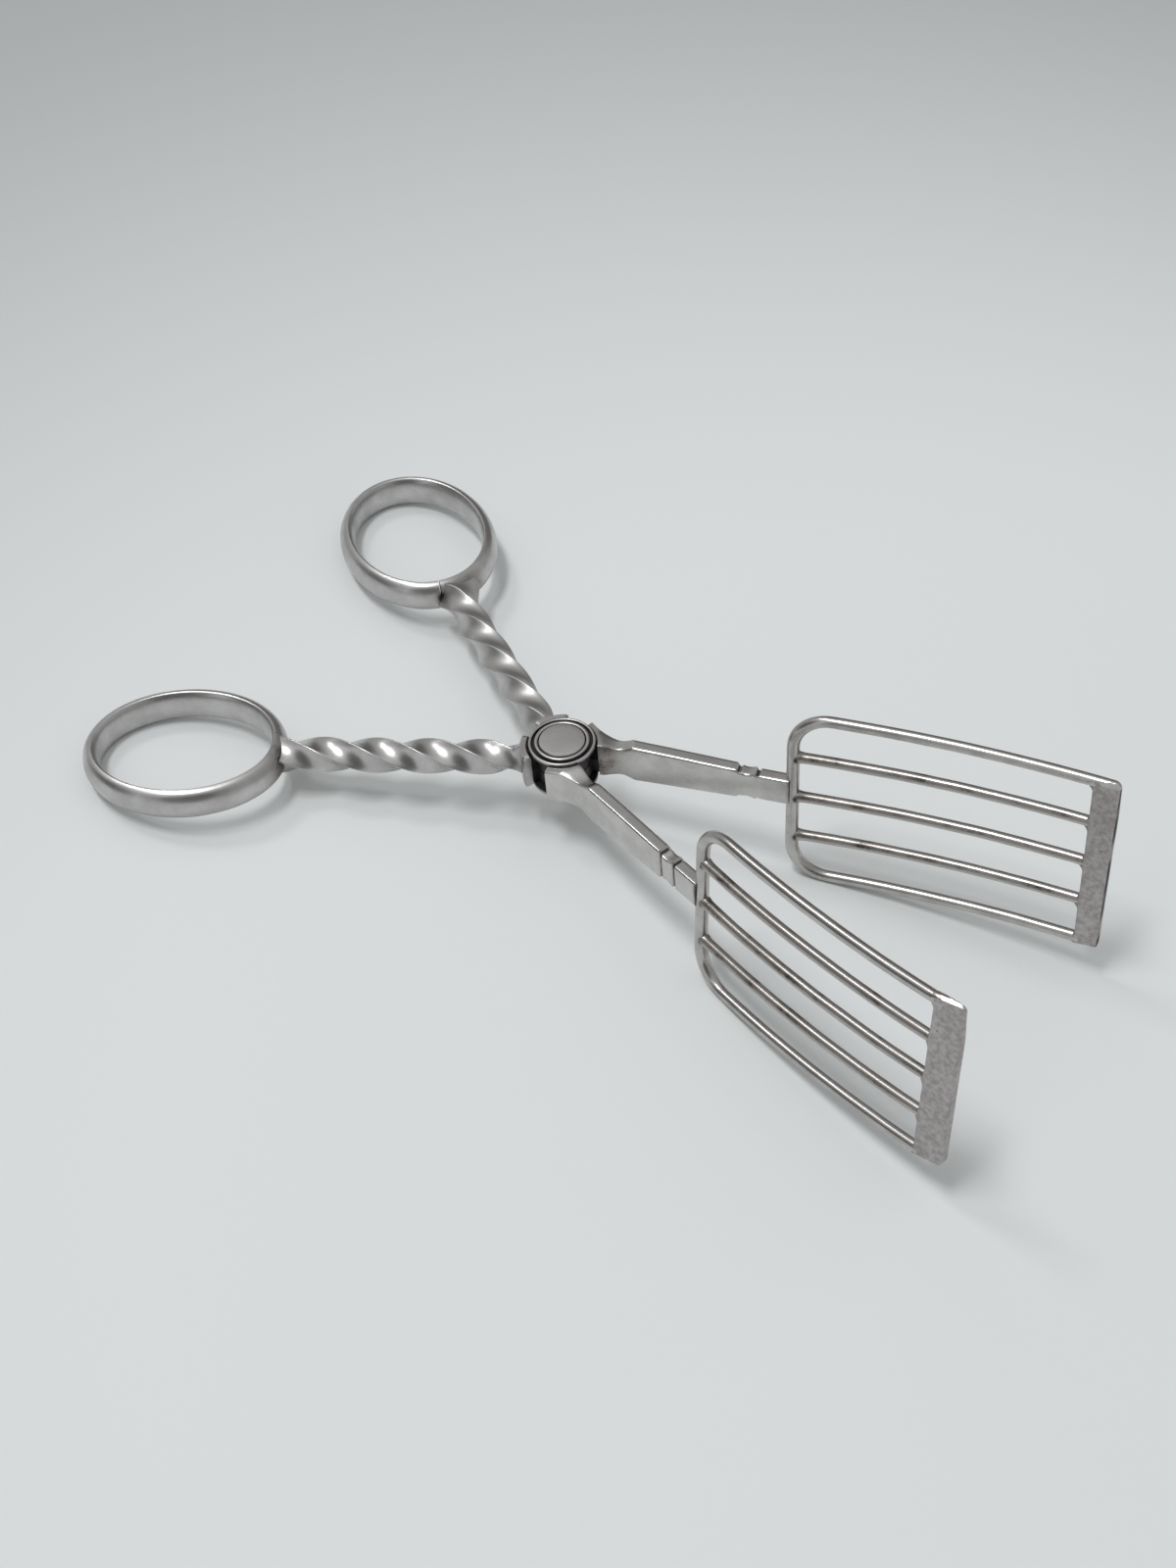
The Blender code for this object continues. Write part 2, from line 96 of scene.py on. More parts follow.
# Darkened places take tarnish, painted shade and painted dark reflections alike: a brown film, then black.
TARNISH_AND_SHADE_RANGE = (0.12, 0.92)
BROWN_TARNISH_AND_SHADE = (0.110, 0.078, 0.056)
BLACK_TARNISH_AND_SHADE = (0.022, 0.021, 0.025)
BLACKENING = (0.45, 1.0)
TARNISH_AND_SHADE_ROUGH = 0.18
TARNISH_AND_SHADE_DULLS = 0.55
DULL_ROUGH = 0.10
SCRATCH_ROUGH = 0.07
CLOUD_HIGH = 1.2
SCRATCH_DEEP = 0.12
PIT_DEEP = 1.5
RELIEF = 0.06 * MM
RELIEF_STRENGTH = 0.30

rivet_axis = Vector(frame["joints"][0]["axis"])
across = Vector((0.0, 1.0, 0.0))
lying = Matrix((across.cross(rivet_axis), across, rivet_axis)).transposed().to_4x4()
lying.translation = Vector(frame["joints"][0]["pos_m"])
noise.seed_set(HAND_SEED)


def hand_made(point):
    """A point moved by the small unevenness of hand work."""
    return point + noise.noise_vector(point * HAND_PITCH) * HAND_WORK


def draw_out(name, sections):
    """Draws a bar out: each new end is extruded from the last one and laid on its own outline."""
    bpy.ops.object.select_all(action="DESELECT")
    bpy.ops.mesh.primitive_circle_add(vertices=len(sections[0]), fill_type="NGON")
    bar = bpy.context.object
    bar.name = name
    bar.data.name = name
    bpy.ops.object.mode_set(mode="EDIT")
    for number, outline in enumerate(sections):
        if number:
            bpy.ops.mesh.extrude_region_move()
        end = next(face for face in bmesh.from_edit_mesh(bar.data).faces if face.select)
        for corner, place in zip(end.verts, outline):
            corner.co = hand_made(place)
        bmesh.update_edit_mesh(bar.data)
    bpy.ops.mesh.select_all(action="SELECT")
    bpy.ops.mesh.normals_make_consistent(inside=False)
    bpy.ops.object.mode_set(mode="OBJECT")
    return bar


def darken(piece, rule):
    """Writes how dark a piece is at each corner of its faces, from 0 for bright to 1 for black: its
    tarnish, and for some pieces painted shade and painted dark reflections.
    """
    patina_and_painted_light = piece.data.attributes.new("patina_and_painted_light", "FLOAT", "CORNER")
    for face in piece.data.polygons:
        for corner in face.loop_indices:
            point = piece.data.vertices[piece.data.loops[corner].vertex_index].co
            patina_and_painted_light.data[corner].value = min(1.0, max(0.0, rule(point, face.normal)))


def fade(distance, reach):
    """1 at a place, falling smoothly to 0 at a reach from it."""
    t = min(1.0, max(0.0, 1.0 - distance / reach))
    return t * t * (3.0 - 2.0 * t)


def settle(piece, seat, finish, body, slot, *nodes):
    """Lays a finished piece in its place on the table and gives it to the body that carries it."""
    piece.matrix_world = lying @ seat
    bpy.ops.object.select_all(action="DESELECT")
    piece.select_set(True)
    bpy.context.view_layer.objects.active = piece
    bpy.ops.object.transform_apply(location=True, rotation=True, scale=True)
    bpy.ops.object.shade_smooth_by_angle(angle=SMOOTH_ANGLE)
    piece.data.materials.clear()
    piece.data.materials.append(finish)
    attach(piece, body)
    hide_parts(*nodes)


class Signal:
    """One socket of a finish's nodes: arithmetic on it adds Math nodes, and node() adds any other."""

    def __init__(self, tree, socket=None):
        self.tree = tree
        self.socket = socket

    def node(self, kind, settings, sockets, output=0):
        """A new node with its settings and its sockets' values or links, as one of its outputs."""
        made = self.tree.nodes.new(kind)
        for name, value in settings.items():
            setattr(made, name, value)
        for name, value in sockets.items():
            if isinstance(value, Signal):
                self.tree.links.new(value.socket, made.inputs[name])
            else:
                made.inputs[name].default_value = value
        return Signal(self.tree, made.outputs[output])

    def maths(self, operation, first, second):
        """A Math node of two numbers or signals."""
        return self.node("ShaderNodeMath", {"operation": operation}, {0: first, 1: second})

    def __add__(self, other):
        return self.maths("ADD", self, other)

    def __radd__(self, other):
        return self.maths("ADD", other, self)

    def __sub__(self, other):
        return self.maths("SUBTRACT", self, other)

    def __rsub__(self, other):
        return self.maths("SUBTRACT", other, self)

    def __mul__(self, other):
        return self.maths("MULTIPLY", self, other)

    def __rmul__(self, other):
        return self.maths("MULTIPLY", other, self)

    def between(self, low, high):
        """0 below low, 1 above high and smooth between them."""
        return self.node("ShaderNodeMapRange", {"interpolation_type": "SMOOTHSTEP"},
                         {"Value": self, "From Min": low, "From Max": high})

    def blend(self, first, second):
        """The first colour where this is 0 and the second where it is 1."""
        colours = {0: self, 6: first, 7: second}
        return self.node("ShaderNodeMix", {"data_type": "RGBA"}, colours, 2)


def opaque(colour):
    """A colour with full alpha."""
    return (*colour, 1.0)


def silver_plate(name, bright, dull, gloss, wear, mottle):
    """Worn silver plate: mottled, scratched and pitted, with brown to black tarnish, painted shade and
    painted dark reflections where it is darkened.
    """
    finish = bpy.data.materials.new(name)
    finish.use_nodes = True
    tree = finish.node_tree
    metal = tree.nodes["Principled BSDF"]
    start = Signal(tree)
    place = start.node("ShaderNodeTexCoord", {}, {}, "Object")
    cloud = start.node("ShaderNodeTexNoise", {},
                       {"Vector": place, "Scale": mottle, "Detail": 5.0, "Roughness": 0.62})
    grain = start.node("ShaderNodeTexNoise", {},
                       {"Vector": place, "Scale": GRAIN, "Detail": 3.0, "Roughness": 0.6})
    hairs = []
    for turn, stretch in HAIRLINES:
        laid = start.node("ShaderNodeMapping", {}, {"Vector": place, "Rotation": turn, "Scale": stretch})
        line = start.node("ShaderNodeTexNoise", {}, {"Vector": laid, "Scale": 1.0, "Detail": 2.0})
        hairs.append(line.between(*HAIRLINE_RANGE))
    scratch = hairs[0] + hairs[1] * SECOND_HAIRLINES
    cell = start.node("ShaderNodeTexVoronoi", {},
                      {"Vector": place, "Scale": PITS, "Randomness": 1.0}, "Distance")
    patch = start.node("ShaderNodeTexNoise", {}, {"Vector": place, "Scale": PIT_PATCHES, "Detail": 1.0})
    few = patch.between(*PIT_PATCH_RANGE)
    pit = (1.0 - cell.between(*PIT_RANGE)) * few
    # This attribute holds tarnish together with painted shade, painted dark reflections and painted
    # highlight lines left bright.
    patina_and_painted_light = start.node("ShaderNodeAttribute", {"attribute_name": "patina_and_painted_light"}, {}, "Fac")
    ragged = patina_and_painted_light + patina_and_painted_light * (1.0 - patina_and_painted_light) * (cloud - 0.5) * RAGGED_BY_CLOUD
    ragged = ragged + patina_and_painted_light * (grain - 0.5) * RAGGED_BY_GRAIN
    tarnish_and_shade = ragged.between(*TARNISH_AND_SHADE_RANGE)
    tone = (cloud + (grain - 0.5) * GRAIN_TONE * wear).between(*TONE_RANGE)
    plate = tone.blend(opaque(dull), opaque(bright))
    marked = (scratch * SCRATCH_BRIGHT * wear).blend(plate, opaque(bright))
    pitted = (pit * PIT_DARK * wear).blend(marked, opaque(PIT_COLOUR))
    browned = tarnish_and_shade.blend(pitted, opaque(BROWN_TARNISH_AND_SHADE))
    tarnished_and_shaded = tarnish_and_shade.between(*BLACKENING).blend(browned, opaque(BLACK_TARNISH_AND_SHADE))
    rough = gloss + (1.0 - tone) * DULL_ROUGH * wear + scratch * SCRATCH_ROUGH * wear
    rough = rough + tarnish_and_shade * TARNISH_AND_SHADE_ROUGH
    height = cloud * CLOUD_HIGH - scratch * SCRATCH_DEEP - pit * PIT_DEEP
    bumps = start.node("ShaderNodeBump", {},
                       {"Strength": RELIEF_STRENGTH * wear, "Distance": RELIEF, "Height": height})
    tree.links.new(tarnished_and_shaded.socket, metal.inputs["Base Color"])
    tree.links.new(rough.socket, metal.inputs["Roughness"])
    tree.links.new((1.0 - tarnish_and_shade * TARNISH_AND_SHADE_DULLS).socket, metal.inputs["Metallic"])
    tree.links.new(bumps.socket, metal.inputs["Normal"])
    return finish


def band_outline():
    """The ring bar's section as (outwards, up): a shallow curve inside and a full belly outside."""
    outline = []
    for step in range(2 * RING_ROUND):
        turn = math.pi * step / RING_ROUND
        depth = RING_CREST if math.cos(turn) < 0.0 else RING_WALL - RING_CREST
        outline.append((RING_CREST + depth * math.cos(turn), RING_HEIGHT / 2 * math.sin(turn)))
    return outline


def ring_sections(side):
    """Sections of the band from its seam all the way round to its own root."""
    length = RING_LENGTH / 2 - RING_WALL
    width = RING_WIDTH / 2 - RING_WALL
    sections = []
    for step in range(RING_STATIONS + 1):
        gone = 2 * (math.pi - SEAM_GAP[side]) * step / RING_STATIONS
        turn = -side * (SEAM_ANGLE - SEAM_GAP[side] - gone)
        inside = Vector((length * math.cos(turn), width * math.sin(turn), 0.0))
        out = Vector((math.cos(turn) / length, math.sin(turn) / width, 0.0)).normalized()
        sections.append([inside + out * depth + Vector((0.0, 0.0, up)) for depth, up in band_outline()])
    return sections


def ring_darkening(side):
    """Darkening of a ring: patina at its root on the shank, made dark and wide enough to paint the dark
    reflection on the belly; tarnish and a painted dark reflection round its seam; and painted shade on the
    faces in the seam's gap.
    """
    root = Vector((-RING_LENGTH / 2, side * ROOT_ASIDE, 0.0))
    seam = Vector((RING_LENGTH / 2 * math.cos(SEAM_ANGLE),
                   -side * RING_WIDTH / 2 * math.sin(SEAM_ANGLE), 0.0))

    def rule(point, normal):
        near = (point - seam).length
        root_patina_and_reflection = ROOT_PATINA_AND_REFLECTION * fade((point - root).length, ROOT_PATINA_AND_REFLECTION_REACH)
        # The faces in the seam's gap are painted black as its shade.
        seam_gap_shade = float(abs(normal.dot(across)) > SEAM_FACING and near < SEAM_NEAR)
        patchy = 1.0 + noise.noise(point * SEAM_MOTTLE)
        return max(root_patina_and_reflection, seam_gap_shade, SEAM_TARNISH_AND_REFLECTION[side] * fade(near, SEAM_REFLECTION_REACH[side]) * patchy)
    return rule


ring_silver = silver_plate("satin ring silver", RING_BRIGHT, RING_DULL, RING_GLOSS, RING_WEAR, RING_MOTTLE)
for arm, side in ARMS.items():
    ring = draw_out(f"ring_{arm}", ring_sections(side))
    darken(ring, ring_darkening(side))
    handle_seat = Matrix.Rotation(math.pi + side * HANDLE_ANGLE, 4, "Z")
    settle(ring, handle_seat @ Matrix.Translation((RING_REACH, 0.0, 0.0)), ring_silver,
           f"arm_{arm}", "silver_satin", f"finger_ring_{arm}")


# Twisted shanks: square silver-plated bars, each twisted by a little over one turn while hot, so that
# four soft ridges wind along it. One end is drawn in against its collar, the other spreads
# into the root of the finger ring.
SHANK_START = 8.3 * MM
SHANK_END = 58.2 * MM
SHANK_SIDE = 5.2 * MM
SHANK_EDGE = 0.25 * MM
SHANK_HOLLOW = 0.10 * MM
SHANK_SIDE_POINTS = 5
SHANK_CORNER_STEPS = 4
SHANK_TURN = math.radians(20.0)
SHANK_TWIST = math.radians(420.0)
SHANK_STATIONS = 130
SHANK_NECK = 4.2 * MM
SHANK_DRAWN_IN = 0.17
SHANK_COVE = 1.7 * MM
COVE_NARROWER = 0.12
COVE_TALLER = 0.40
SHANK_ROOT = 7.0 * MM
SHANK_SPREAD = {1: 0.15, -1: 0.50}
ROOT_TALLER = 0.05
SHANK_LEAN = {1: 0.2 * MM, -1: -1.1 * MM}
SHANK_FRONT_STAIN = 0.40
SHANK_FRONT_STAIN_REACH = 2.4 * MM
SHANK_ROOT_STAIN = 0.55
SHANK_ROOT_STAIN_REACH = 3.6 * MM
SHANK_BRIGHT = (0.58, 0.572, 0.563)
SHANK_DULL = (0.48, 0.47, 0.462)
SHANK_GLOSS = {"a": 0.25, "b": 0.36}
SHANK_WEAR = 0.7
SHANK_MOTTLE = 210.0


def square_outline(turn, scale):
    """A turned square with round corners and slightly hollow sides, as (across, up)."""
    core = SHANK_SIDE / 2 - SHANK_EDGE
    outline = []
    for quarter in range(4):
        facing = turn + quarter * math.pi / 2
        for step in range(1, SHANK_SIDE_POINTS + 1):
            aside = 2.0 * step / (SHANK_SIDE_POINTS + 1) - 1.0
            point = Vector((SHANK_SIDE / 2 - SHANK_HOLLOW * (1.0 - aside ** 2), core * aside, 0.0))
            outline.append(Matrix.Rotation(facing, 3, "Z") @ point * scale)
        for step in range(SHANK_CORNER_STEPS + 1):
            corner = math.pi / 2 * step / SHANK_CORNER_STEPS
            point = Vector((core + SHANK_EDGE * math.cos(corner),
                            core + SHANK_EDGE * math.sin(corner), 0.0))
            outline.append(Matrix.Rotation(facing, 3, "Z") @ point * scale)
    return outline


def shank_sections(side):
    """Sections of the twisted bar from its collar to the ring."""
    sections = []
    for step in range(SHANK_STATIONS + 1):
        along = SHANK_START + (SHANK_END - SHANK_START) * step / SHANK_STATIONS
        share = (along - SHANK_START) / (SHANK_END - SHANK_START)
        neck = 1.0 - SHANK_DRAWN_IN * fade(abs(along - SHANK_START - SHANK_COVE), SHANK_NECK)
        cove = fade(along - SHANK_START, SHANK_COVE)
        spread = fade(SHANK_END - along, SHANK_ROOT)
        outline = square_outline(side * (SHANK_TURN + SHANK_TWIST * share), neck)
        lean = SHANK_LEAN[side] * spread
        wide = 1.0 + SHANK_SPREAD[side] * spread - COVE_NARROWER * cove
        tall = 1.0 + ROOT_TALLER * spread + COVE_TALLER * cove
        sections.append([Vector((along, p.x * wide + lean, p.y * tall)) for p in outline])
    return sections


def shank_stain(point, normal):
    """Tarnish of a shank: dark at the collar and at the ring."""
    return max(SHANK_FRONT_STAIN * fade(point.x - SHANK_START, SHANK_FRONT_STAIN_REACH),
               SHANK_ROOT_STAIN * fade(SHANK_END - point.x, SHANK_ROOT_STAIN_REACH))


shank_silver = {arm: silver_plate(f"shank silver {arm}", SHANK_BRIGHT, SHANK_DULL,
                                  SHANK_GLOSS[arm], SHANK_WEAR, SHANK_MOTTLE) for arm in ARMS}
for arm, side in ARMS.items():
    shank = draw_out(f"shank_{arm}", shank_sections(side))
    darken(shank, shank_stain)
    settle(shank, Matrix.Rotation(math.pi + side * HANDLE_ANGLE, 4, "Z"), shank_silver[arm],
           f"arm_{arm}", "silver_bright", f"twisted_shank_{arm}")


# Shank collars: curved silver-plated plates at the front of the shanks, bent to hug the pivot's
# cap. Each one is soldered to its shank and to its half of the hub.
COLLAR_INSIDE = 7.05 * MM
COLLAR_OUTSIDE = 8.6 * MM
COLLAR_HEIGHT = 8.2 * MM
COLLAR_SHORT = math.radians(17.0)
COLLAR_LONG = math.radians(33.0)
COLLAR_STEPS = 24
COLLAR_EDGE = 0.28 * MM
COLLAR_END_STEPS = 1.5
COLLAR_END_LOWER = 0.09


def collar_sections(side):
    """Sections of the plate from its short end to its long one, each a little rounded."""
    half = COLLAR_HEIGHT / 2
    low = COLLAR_INSIDE
    high = COLLAR_OUTSIDE
    edge = COLLAR_EDGE
    outline = [(low, edge - half), (low, half - edge), (low + edge, half), (high - edge, half),
               (high, half - edge), (high, edge - half), (high - edge, -half), (low + edge, -half)]
    sections = []
    for step in range(COLLAR_STEPS + 1):
        turn = side * (-COLLAR_SHORT + (COLLAR_SHORT + COLLAR_LONG) * step / COLLAR_STEPS)
        end = max(fade(step, COLLAR_END_STEPS), fade(COLLAR_STEPS - step, COLLAR_END_STEPS))
        shrink = 1.0 - COLLAR_END_LOWER * end
        sections.append([Vector((r * math.cos(turn), r * math.sin(turn), z * shrink))
                         for r, z in outline])
    return sections


def collar_shade_and_tarnish(point, normal):
    """Tarnish and painted shade: black on the face towards the cap, hidden in its recess, and bright
    outside.
    """
    return -normal.dot(Vector((point.x, point.y, 0.0)).normalized())


for arm, side in ARMS.items():
    collar = draw_out(f"collar_{arm}", collar_sections(side))
    darken(collar, collar_shade_and_tarnish)
    settle(collar, Matrix.Rotation(math.pi + side * HANDLE_ANGLE, 4, "Z"), shank_silver[arm],
           f"arm_{arm}", "silver_bright", f"shank_collar_{arm}")


# Jaw arms: forged and filed bars in silver plate. Each has its half of the hub, a shoulder that hugs
# the cap, a scooped neck, a tapering arm with filed edges, and a grooved bead before
# the block that is soldered to the grill.
ARM_ANGLE = math.radians(16.6)
ARM_INNER = 1.6 * MM
ARM_OUTER = 4.4 * MM
ARM_FILED = 0.5 * MM
FILED_LESS_IN_GROOVE = 0.7
FILED_LESS_AT_NECK = 0.55
NECK_PLACE = 9.0 * MM
NECK_REACH = 4.0 * MM
ROUND_TO = 18.2 * MM
HUB_HALF_HEIGHT = 4.1 * MM
HUG_RADIUS = 7.1 * MM
SHOULDER_RADIUS = 8.6 * MM
SHOULDER_INNER_ANGLE = math.radians(8.0)
SHOULDER_OUTER_ANGLE = math.radians(62.0)
SCOOP_START = 8.0 * MM
SCOOP_FLOOR = 11.2 * MM
SCOOP_HALF_HEIGHT = 3.45 * MM
ARM_ROOT = 14.2 * MM
ARM_ROOT_HALF = 4.5 * MM
GROOVES = (35.7 * MM, 39.5 * MM)
GROOVE_HALF = 0.55 * MM
GROOVE_DEPTH = 0.6 * MM
ARM_TIP_HALF = 3.7 * MM
BEAD_HALF = 3.45 * MM
BEAD_HOLLOW = 0.45 * MM
BEAD_LOPSIDED = 1.15
BLOCK_HALF = 3.15 * MM
ARM_TIP = 46.0 * MM
TOP_POINTS = 5
EDGE_POINTS = 4
ROOT_STATIONS = 34
ROOT_FROM = 3.0 * MM
ROOT_PITCH = 0.35 * MM
BLADE_STATIONS = 12
BLOCK_STATIONS = 8
LAP_RADIUS = 5.6 * MM
LAP_HEIGHT = 3.25 * MM
LAP_GAP = 0.15 * MM
RIVET_HOLE = 2.3 * MM
LAP_STEPS = 64
LAP_STEPS_LEAST = 6
LAP_JOINED = 0.4 * MM
WEB_INSIDE = 0.8 * MM
WEB_MARGIN = 0.04
TONGUE_PAST = 0.2 * MM
TONGUE_MARGIN = 0.05
HUG_SIDES = 160
HUG_DEPTH = 20.0 * MM
WELD = 0.002 * MM
BARREL_MARGIN = 0.02 * MM
BARREL_BELOW = 0.5 * MM
BARREL_FACING = 0.5
# Where the web is painted black as tarnish and the shade in the hub's gaps.
WEB_DARK_INSIDE = 0.7 * MM
WEB_DARK_TILT = 0.3
WEB_DARK_HALF = 3.6 * MM
GROOVE_STAIN = 0.95
INNER_FACE_DEPTH = 0.4 * MM
TIP_STAIN = 0.6
TIP_STAIN_REACH = 1.2 * MM
ARM_ROOT_STAIN = 0.55
ARM_ROOT_STAIN_REACH = 11.0 * MM
ARM_BRIGHT = (0.61, 0.60, 0.586)
ARM_DULL = (0.52, 0.509, 0.497)
ARM_GLOSS = 0.20
ARM_WEAR = 0.7
ARM_MOTTLE = 210.0


def arm_half_height(reach):
    """Half the arm's height at a reach from the pivot."""
    first, second = GROOVES
    if reach < SCOOP_START:
        return HUB_HALF_HEIGHT
    if reach < SCOOP_FLOOR:
        t = (reach - SCOOP_START) / (SCOOP_FLOOR - SCOOP_START)
        return HUB_HALF_HEIGHT - (HUB_HALF_HEIGHT - SCOOP_HALF_HEIGHT) * math.sin(math.pi / 2 * t)
    if reach < ARM_ROOT:
        t = (reach - SCOOP_FLOOR) / (ARM_ROOT - SCOOP_FLOOR)
        rise = 1.0 - math.cos(math.pi / 2 * t)
        return SCOOP_HALF_HEIGHT + (ARM_ROOT_HALF - SCOOP_HALF_HEIGHT) * rise
    if reach <= first:
        t = (reach - ARM_ROOT) / (first - ARM_ROOT)
        return ARM_ROOT_HALF + (ARM_TIP_HALF - ARM_ROOT_HALF) * t
    if reach <= second:
        t = (reach - first) / (second - first)
        return BEAD_HALF - BEAD_HOLLOW * math.sin(math.pi * min(1.0, t * BEAD_LOPSIDED))
    return BLOCK_HALF


def groove_depth(along):
    """How deep the file went at a place along the arm."""
    return GROOVE_DEPTH * max(max(0.0, 1.0 - abs(along - place) / GROOVE_HALF) for place in GROOVES)


def arm_section(along, side):
    """The filed section of the arm at a place along it."""
    corner = Vector((SHOULDER_RADIUS * math.cos(SHOULDER_OUTER_ANGLE),
                     SHOULDER_RADIUS * math.sin(SHOULDER_OUTER_ANGLE)))
    swell = max(0.0, 1.0 - (along - corner.x) / (SCOOP_FLOOR - corner.x))
    outer = ARM_OUTER + (corner.y - ARM_OUTER) * swell ** 2
    inner = min(ARM_INNER, along * math.tan(SHOULDER_INNER_ANGLE))
    cut = groove_depth(along)
    outer -= cut
    filed = ARM_FILED * (1.0 - FILED_LESS_IN_GROOVE * cut / GROOVE_DEPTH)
    filed *= 1.0 - FILED_LESS_AT_NECK * fade(abs(along - NECK_PLACE), NECK_REACH)

    def half(y):
        """Half the height at a distance from the arm's line; near the pivot the top runs round it."""
        reach = math.hypot(along, y) if along < ROUND_TO else along
        return arm_half_height(reach) - cut

    def edge(y, inwards):
        """Points round a filed edge, from the arm's side up to its top."""
        turns = [math.pi / 2 * step / EDGE_POINTS for step in range(EDGE_POINTS)]
        return [(y + inwards * filed * (1.0 - math.cos(t)), half(y) - filed * (1.0 - math.sin(t)))
                for t in turns]

    flat = outer - inner - 2 * filed
    tops = [inner + filed + flat * step / (TOP_POINTS - 1) for step in range(TOP_POINTS)]
    over = edge(inner, 1.0) + [(y, half(y)) for y in tops] + edge(outer, -1.0)[::-1]
    outline = over + [(y, -z) for y, z in reversed(over)]
    return [Vector((along, side * y, z)) for y, z in outline]


def arm_stations():
    """Places along the arm, close together where its shape turns."""
    places = [ROOT_FROM + ROOT_PITCH * step for step in range(ROOT_STATIONS)]
    blade = GROOVES[0] - GROOVE_HALF - places[-1]
    places += [places[-1] + blade * step / BLADE_STATIONS for step in range(1, BLADE_STATIONS + 1)]
    for place, stretch in zip(GROOVES, (GROOVES[1] - GROOVE_HALF, ARM_TIP)):
        places += [place - GROOVE_HALF / 2, place, place + GROOVE_HALF / 2, place + GROOVE_HALF]
        gap = stretch - place - GROOVE_HALF
        places += [place + GROOVE_HALF + gap * step / BLOCK_STATIONS
                   for step in range(1, BLOCK_STATIONS + 1)]
    return places


def cut_with(piece, cutter, operation):
    """Cuts or joins a piece with another, which is then gone."""
    boolean = piece.modifiers.new(operation.lower(), "BOOLEAN")
    boolean.operation = operation
    boolean.solver = "EXACT"
    boolean.object = cutter
    bpy.ops.object.select_all(action="DESELECT")
    bpy.context.view_layer.objects.active = piece
    bpy.ops.object.modifier_apply(modifier=boolean.name)
    bpy.data.objects.remove(cutter)


def turn_part(name, profile, start, sweep, steps):
    """A ring of a (radius, height) profile, spun about the rivet's axis; Blender spins clockwise."""
    bpy.ops.object.select_all(action="DESELECT")
    bpy.ops.mesh.primitive_circle_add(vertices=len(profile), fill_type="NGON")
    part = bpy.context.object
    part.name = name
    part.data.name = name
    for corner, (radius, height) in zip(part.data.vertices, profile):
        corner.co = (radius * math.cos(start), radius * math.sin(start), height)
    whole = abs(sweep) > 2 * math.pi - 0.01
    bpy.ops.object.mode_set(mode="EDIT")
    bpy.ops.mesh.select_all(action="SELECT")
    if whole:
        bpy.ops.mesh.delete(type="ONLY_FACE")
        bpy.ops.mesh.select_all(action="SELECT")
    bpy.ops.mesh.spin(steps=steps, angle=-sweep, center=(0.0, 0.0, 0.0), axis=(0.0, 0.0, 1.0),
                      dupli=False)
    bpy.ops.mesh.select_all(action="SELECT")
    bpy.ops.mesh.remove_doubles(threshold=WELD)
    bpy.ops.mesh.normals_make_consistent(inside=False)
    bpy.ops.object.mode_set(mode="OBJECT")
    return part


def lap_part(name, inside, outside, start, sweep, side):
    """A stretch of the hub half between two radii; arm a has the lower half and arm b the upper one."""
    low = -side * LAP_GAP
    high = -side * (LAP_GAP + LAP_HEIGHT)
    profile = [(inside, low), (outside, low), (outside, high), (inside, high)]
    steps = max(LAP_STEPS_LEAST, int(LAP_STEPS * abs(sweep) / (2 * math.pi)))
    return turn_part(name, profile, start, sweep, steps)


def arm_darkening(side):
    """Darkening of an arm: black round the hub barrel as tarnish and painted shade in its recess, black in
    the grooves, and darker at the soldered tip.
    """
    def rule(point, normal):
        outwards = Vector((point.x, point.y, 0.0))
        hidden = (abs(point.z) < HUB_HALF_HEIGHT - BARREL_BELOW
                  or normal.dot(outwards) < -BARREL_FACING * outwards.length)
        # The recess round the barrel and the web are painted black as tarnish and the shade in the hub's
        # gaps.
        recess = outwards.length < HUG_RADIUS + BARREL_MARGIN and hidden
        web = (outwards.length < SHOULDER_RADIUS - WEB_DARK_INSIDE
               and abs(normal.z) < WEB_DARK_TILT and abs(point.z) < WEB_DARK_HALF)
        recess_tarnish_and_shade = float(recess or web)
        filed = max(fade(abs(point.x - place), GROOVE_HALF) for place in GROOVES)
        inner_face = fade(side * point.y - ARM_INNER, INNER_FACE_DEPTH)
        tip = TIP_STAIN * fade(ARM_TIP - point.x, TIP_STAIN_REACH)
        root = ARM_ROOT_STAIN * inner_face * fade(outwards.length - HUG_RADIUS, ARM_ROOT_STAIN_REACH)
        return max(recess_tarnish_and_shade, GROOVE_STAIN * filed * (1.0 - inner_face), tip, root)
    return rule


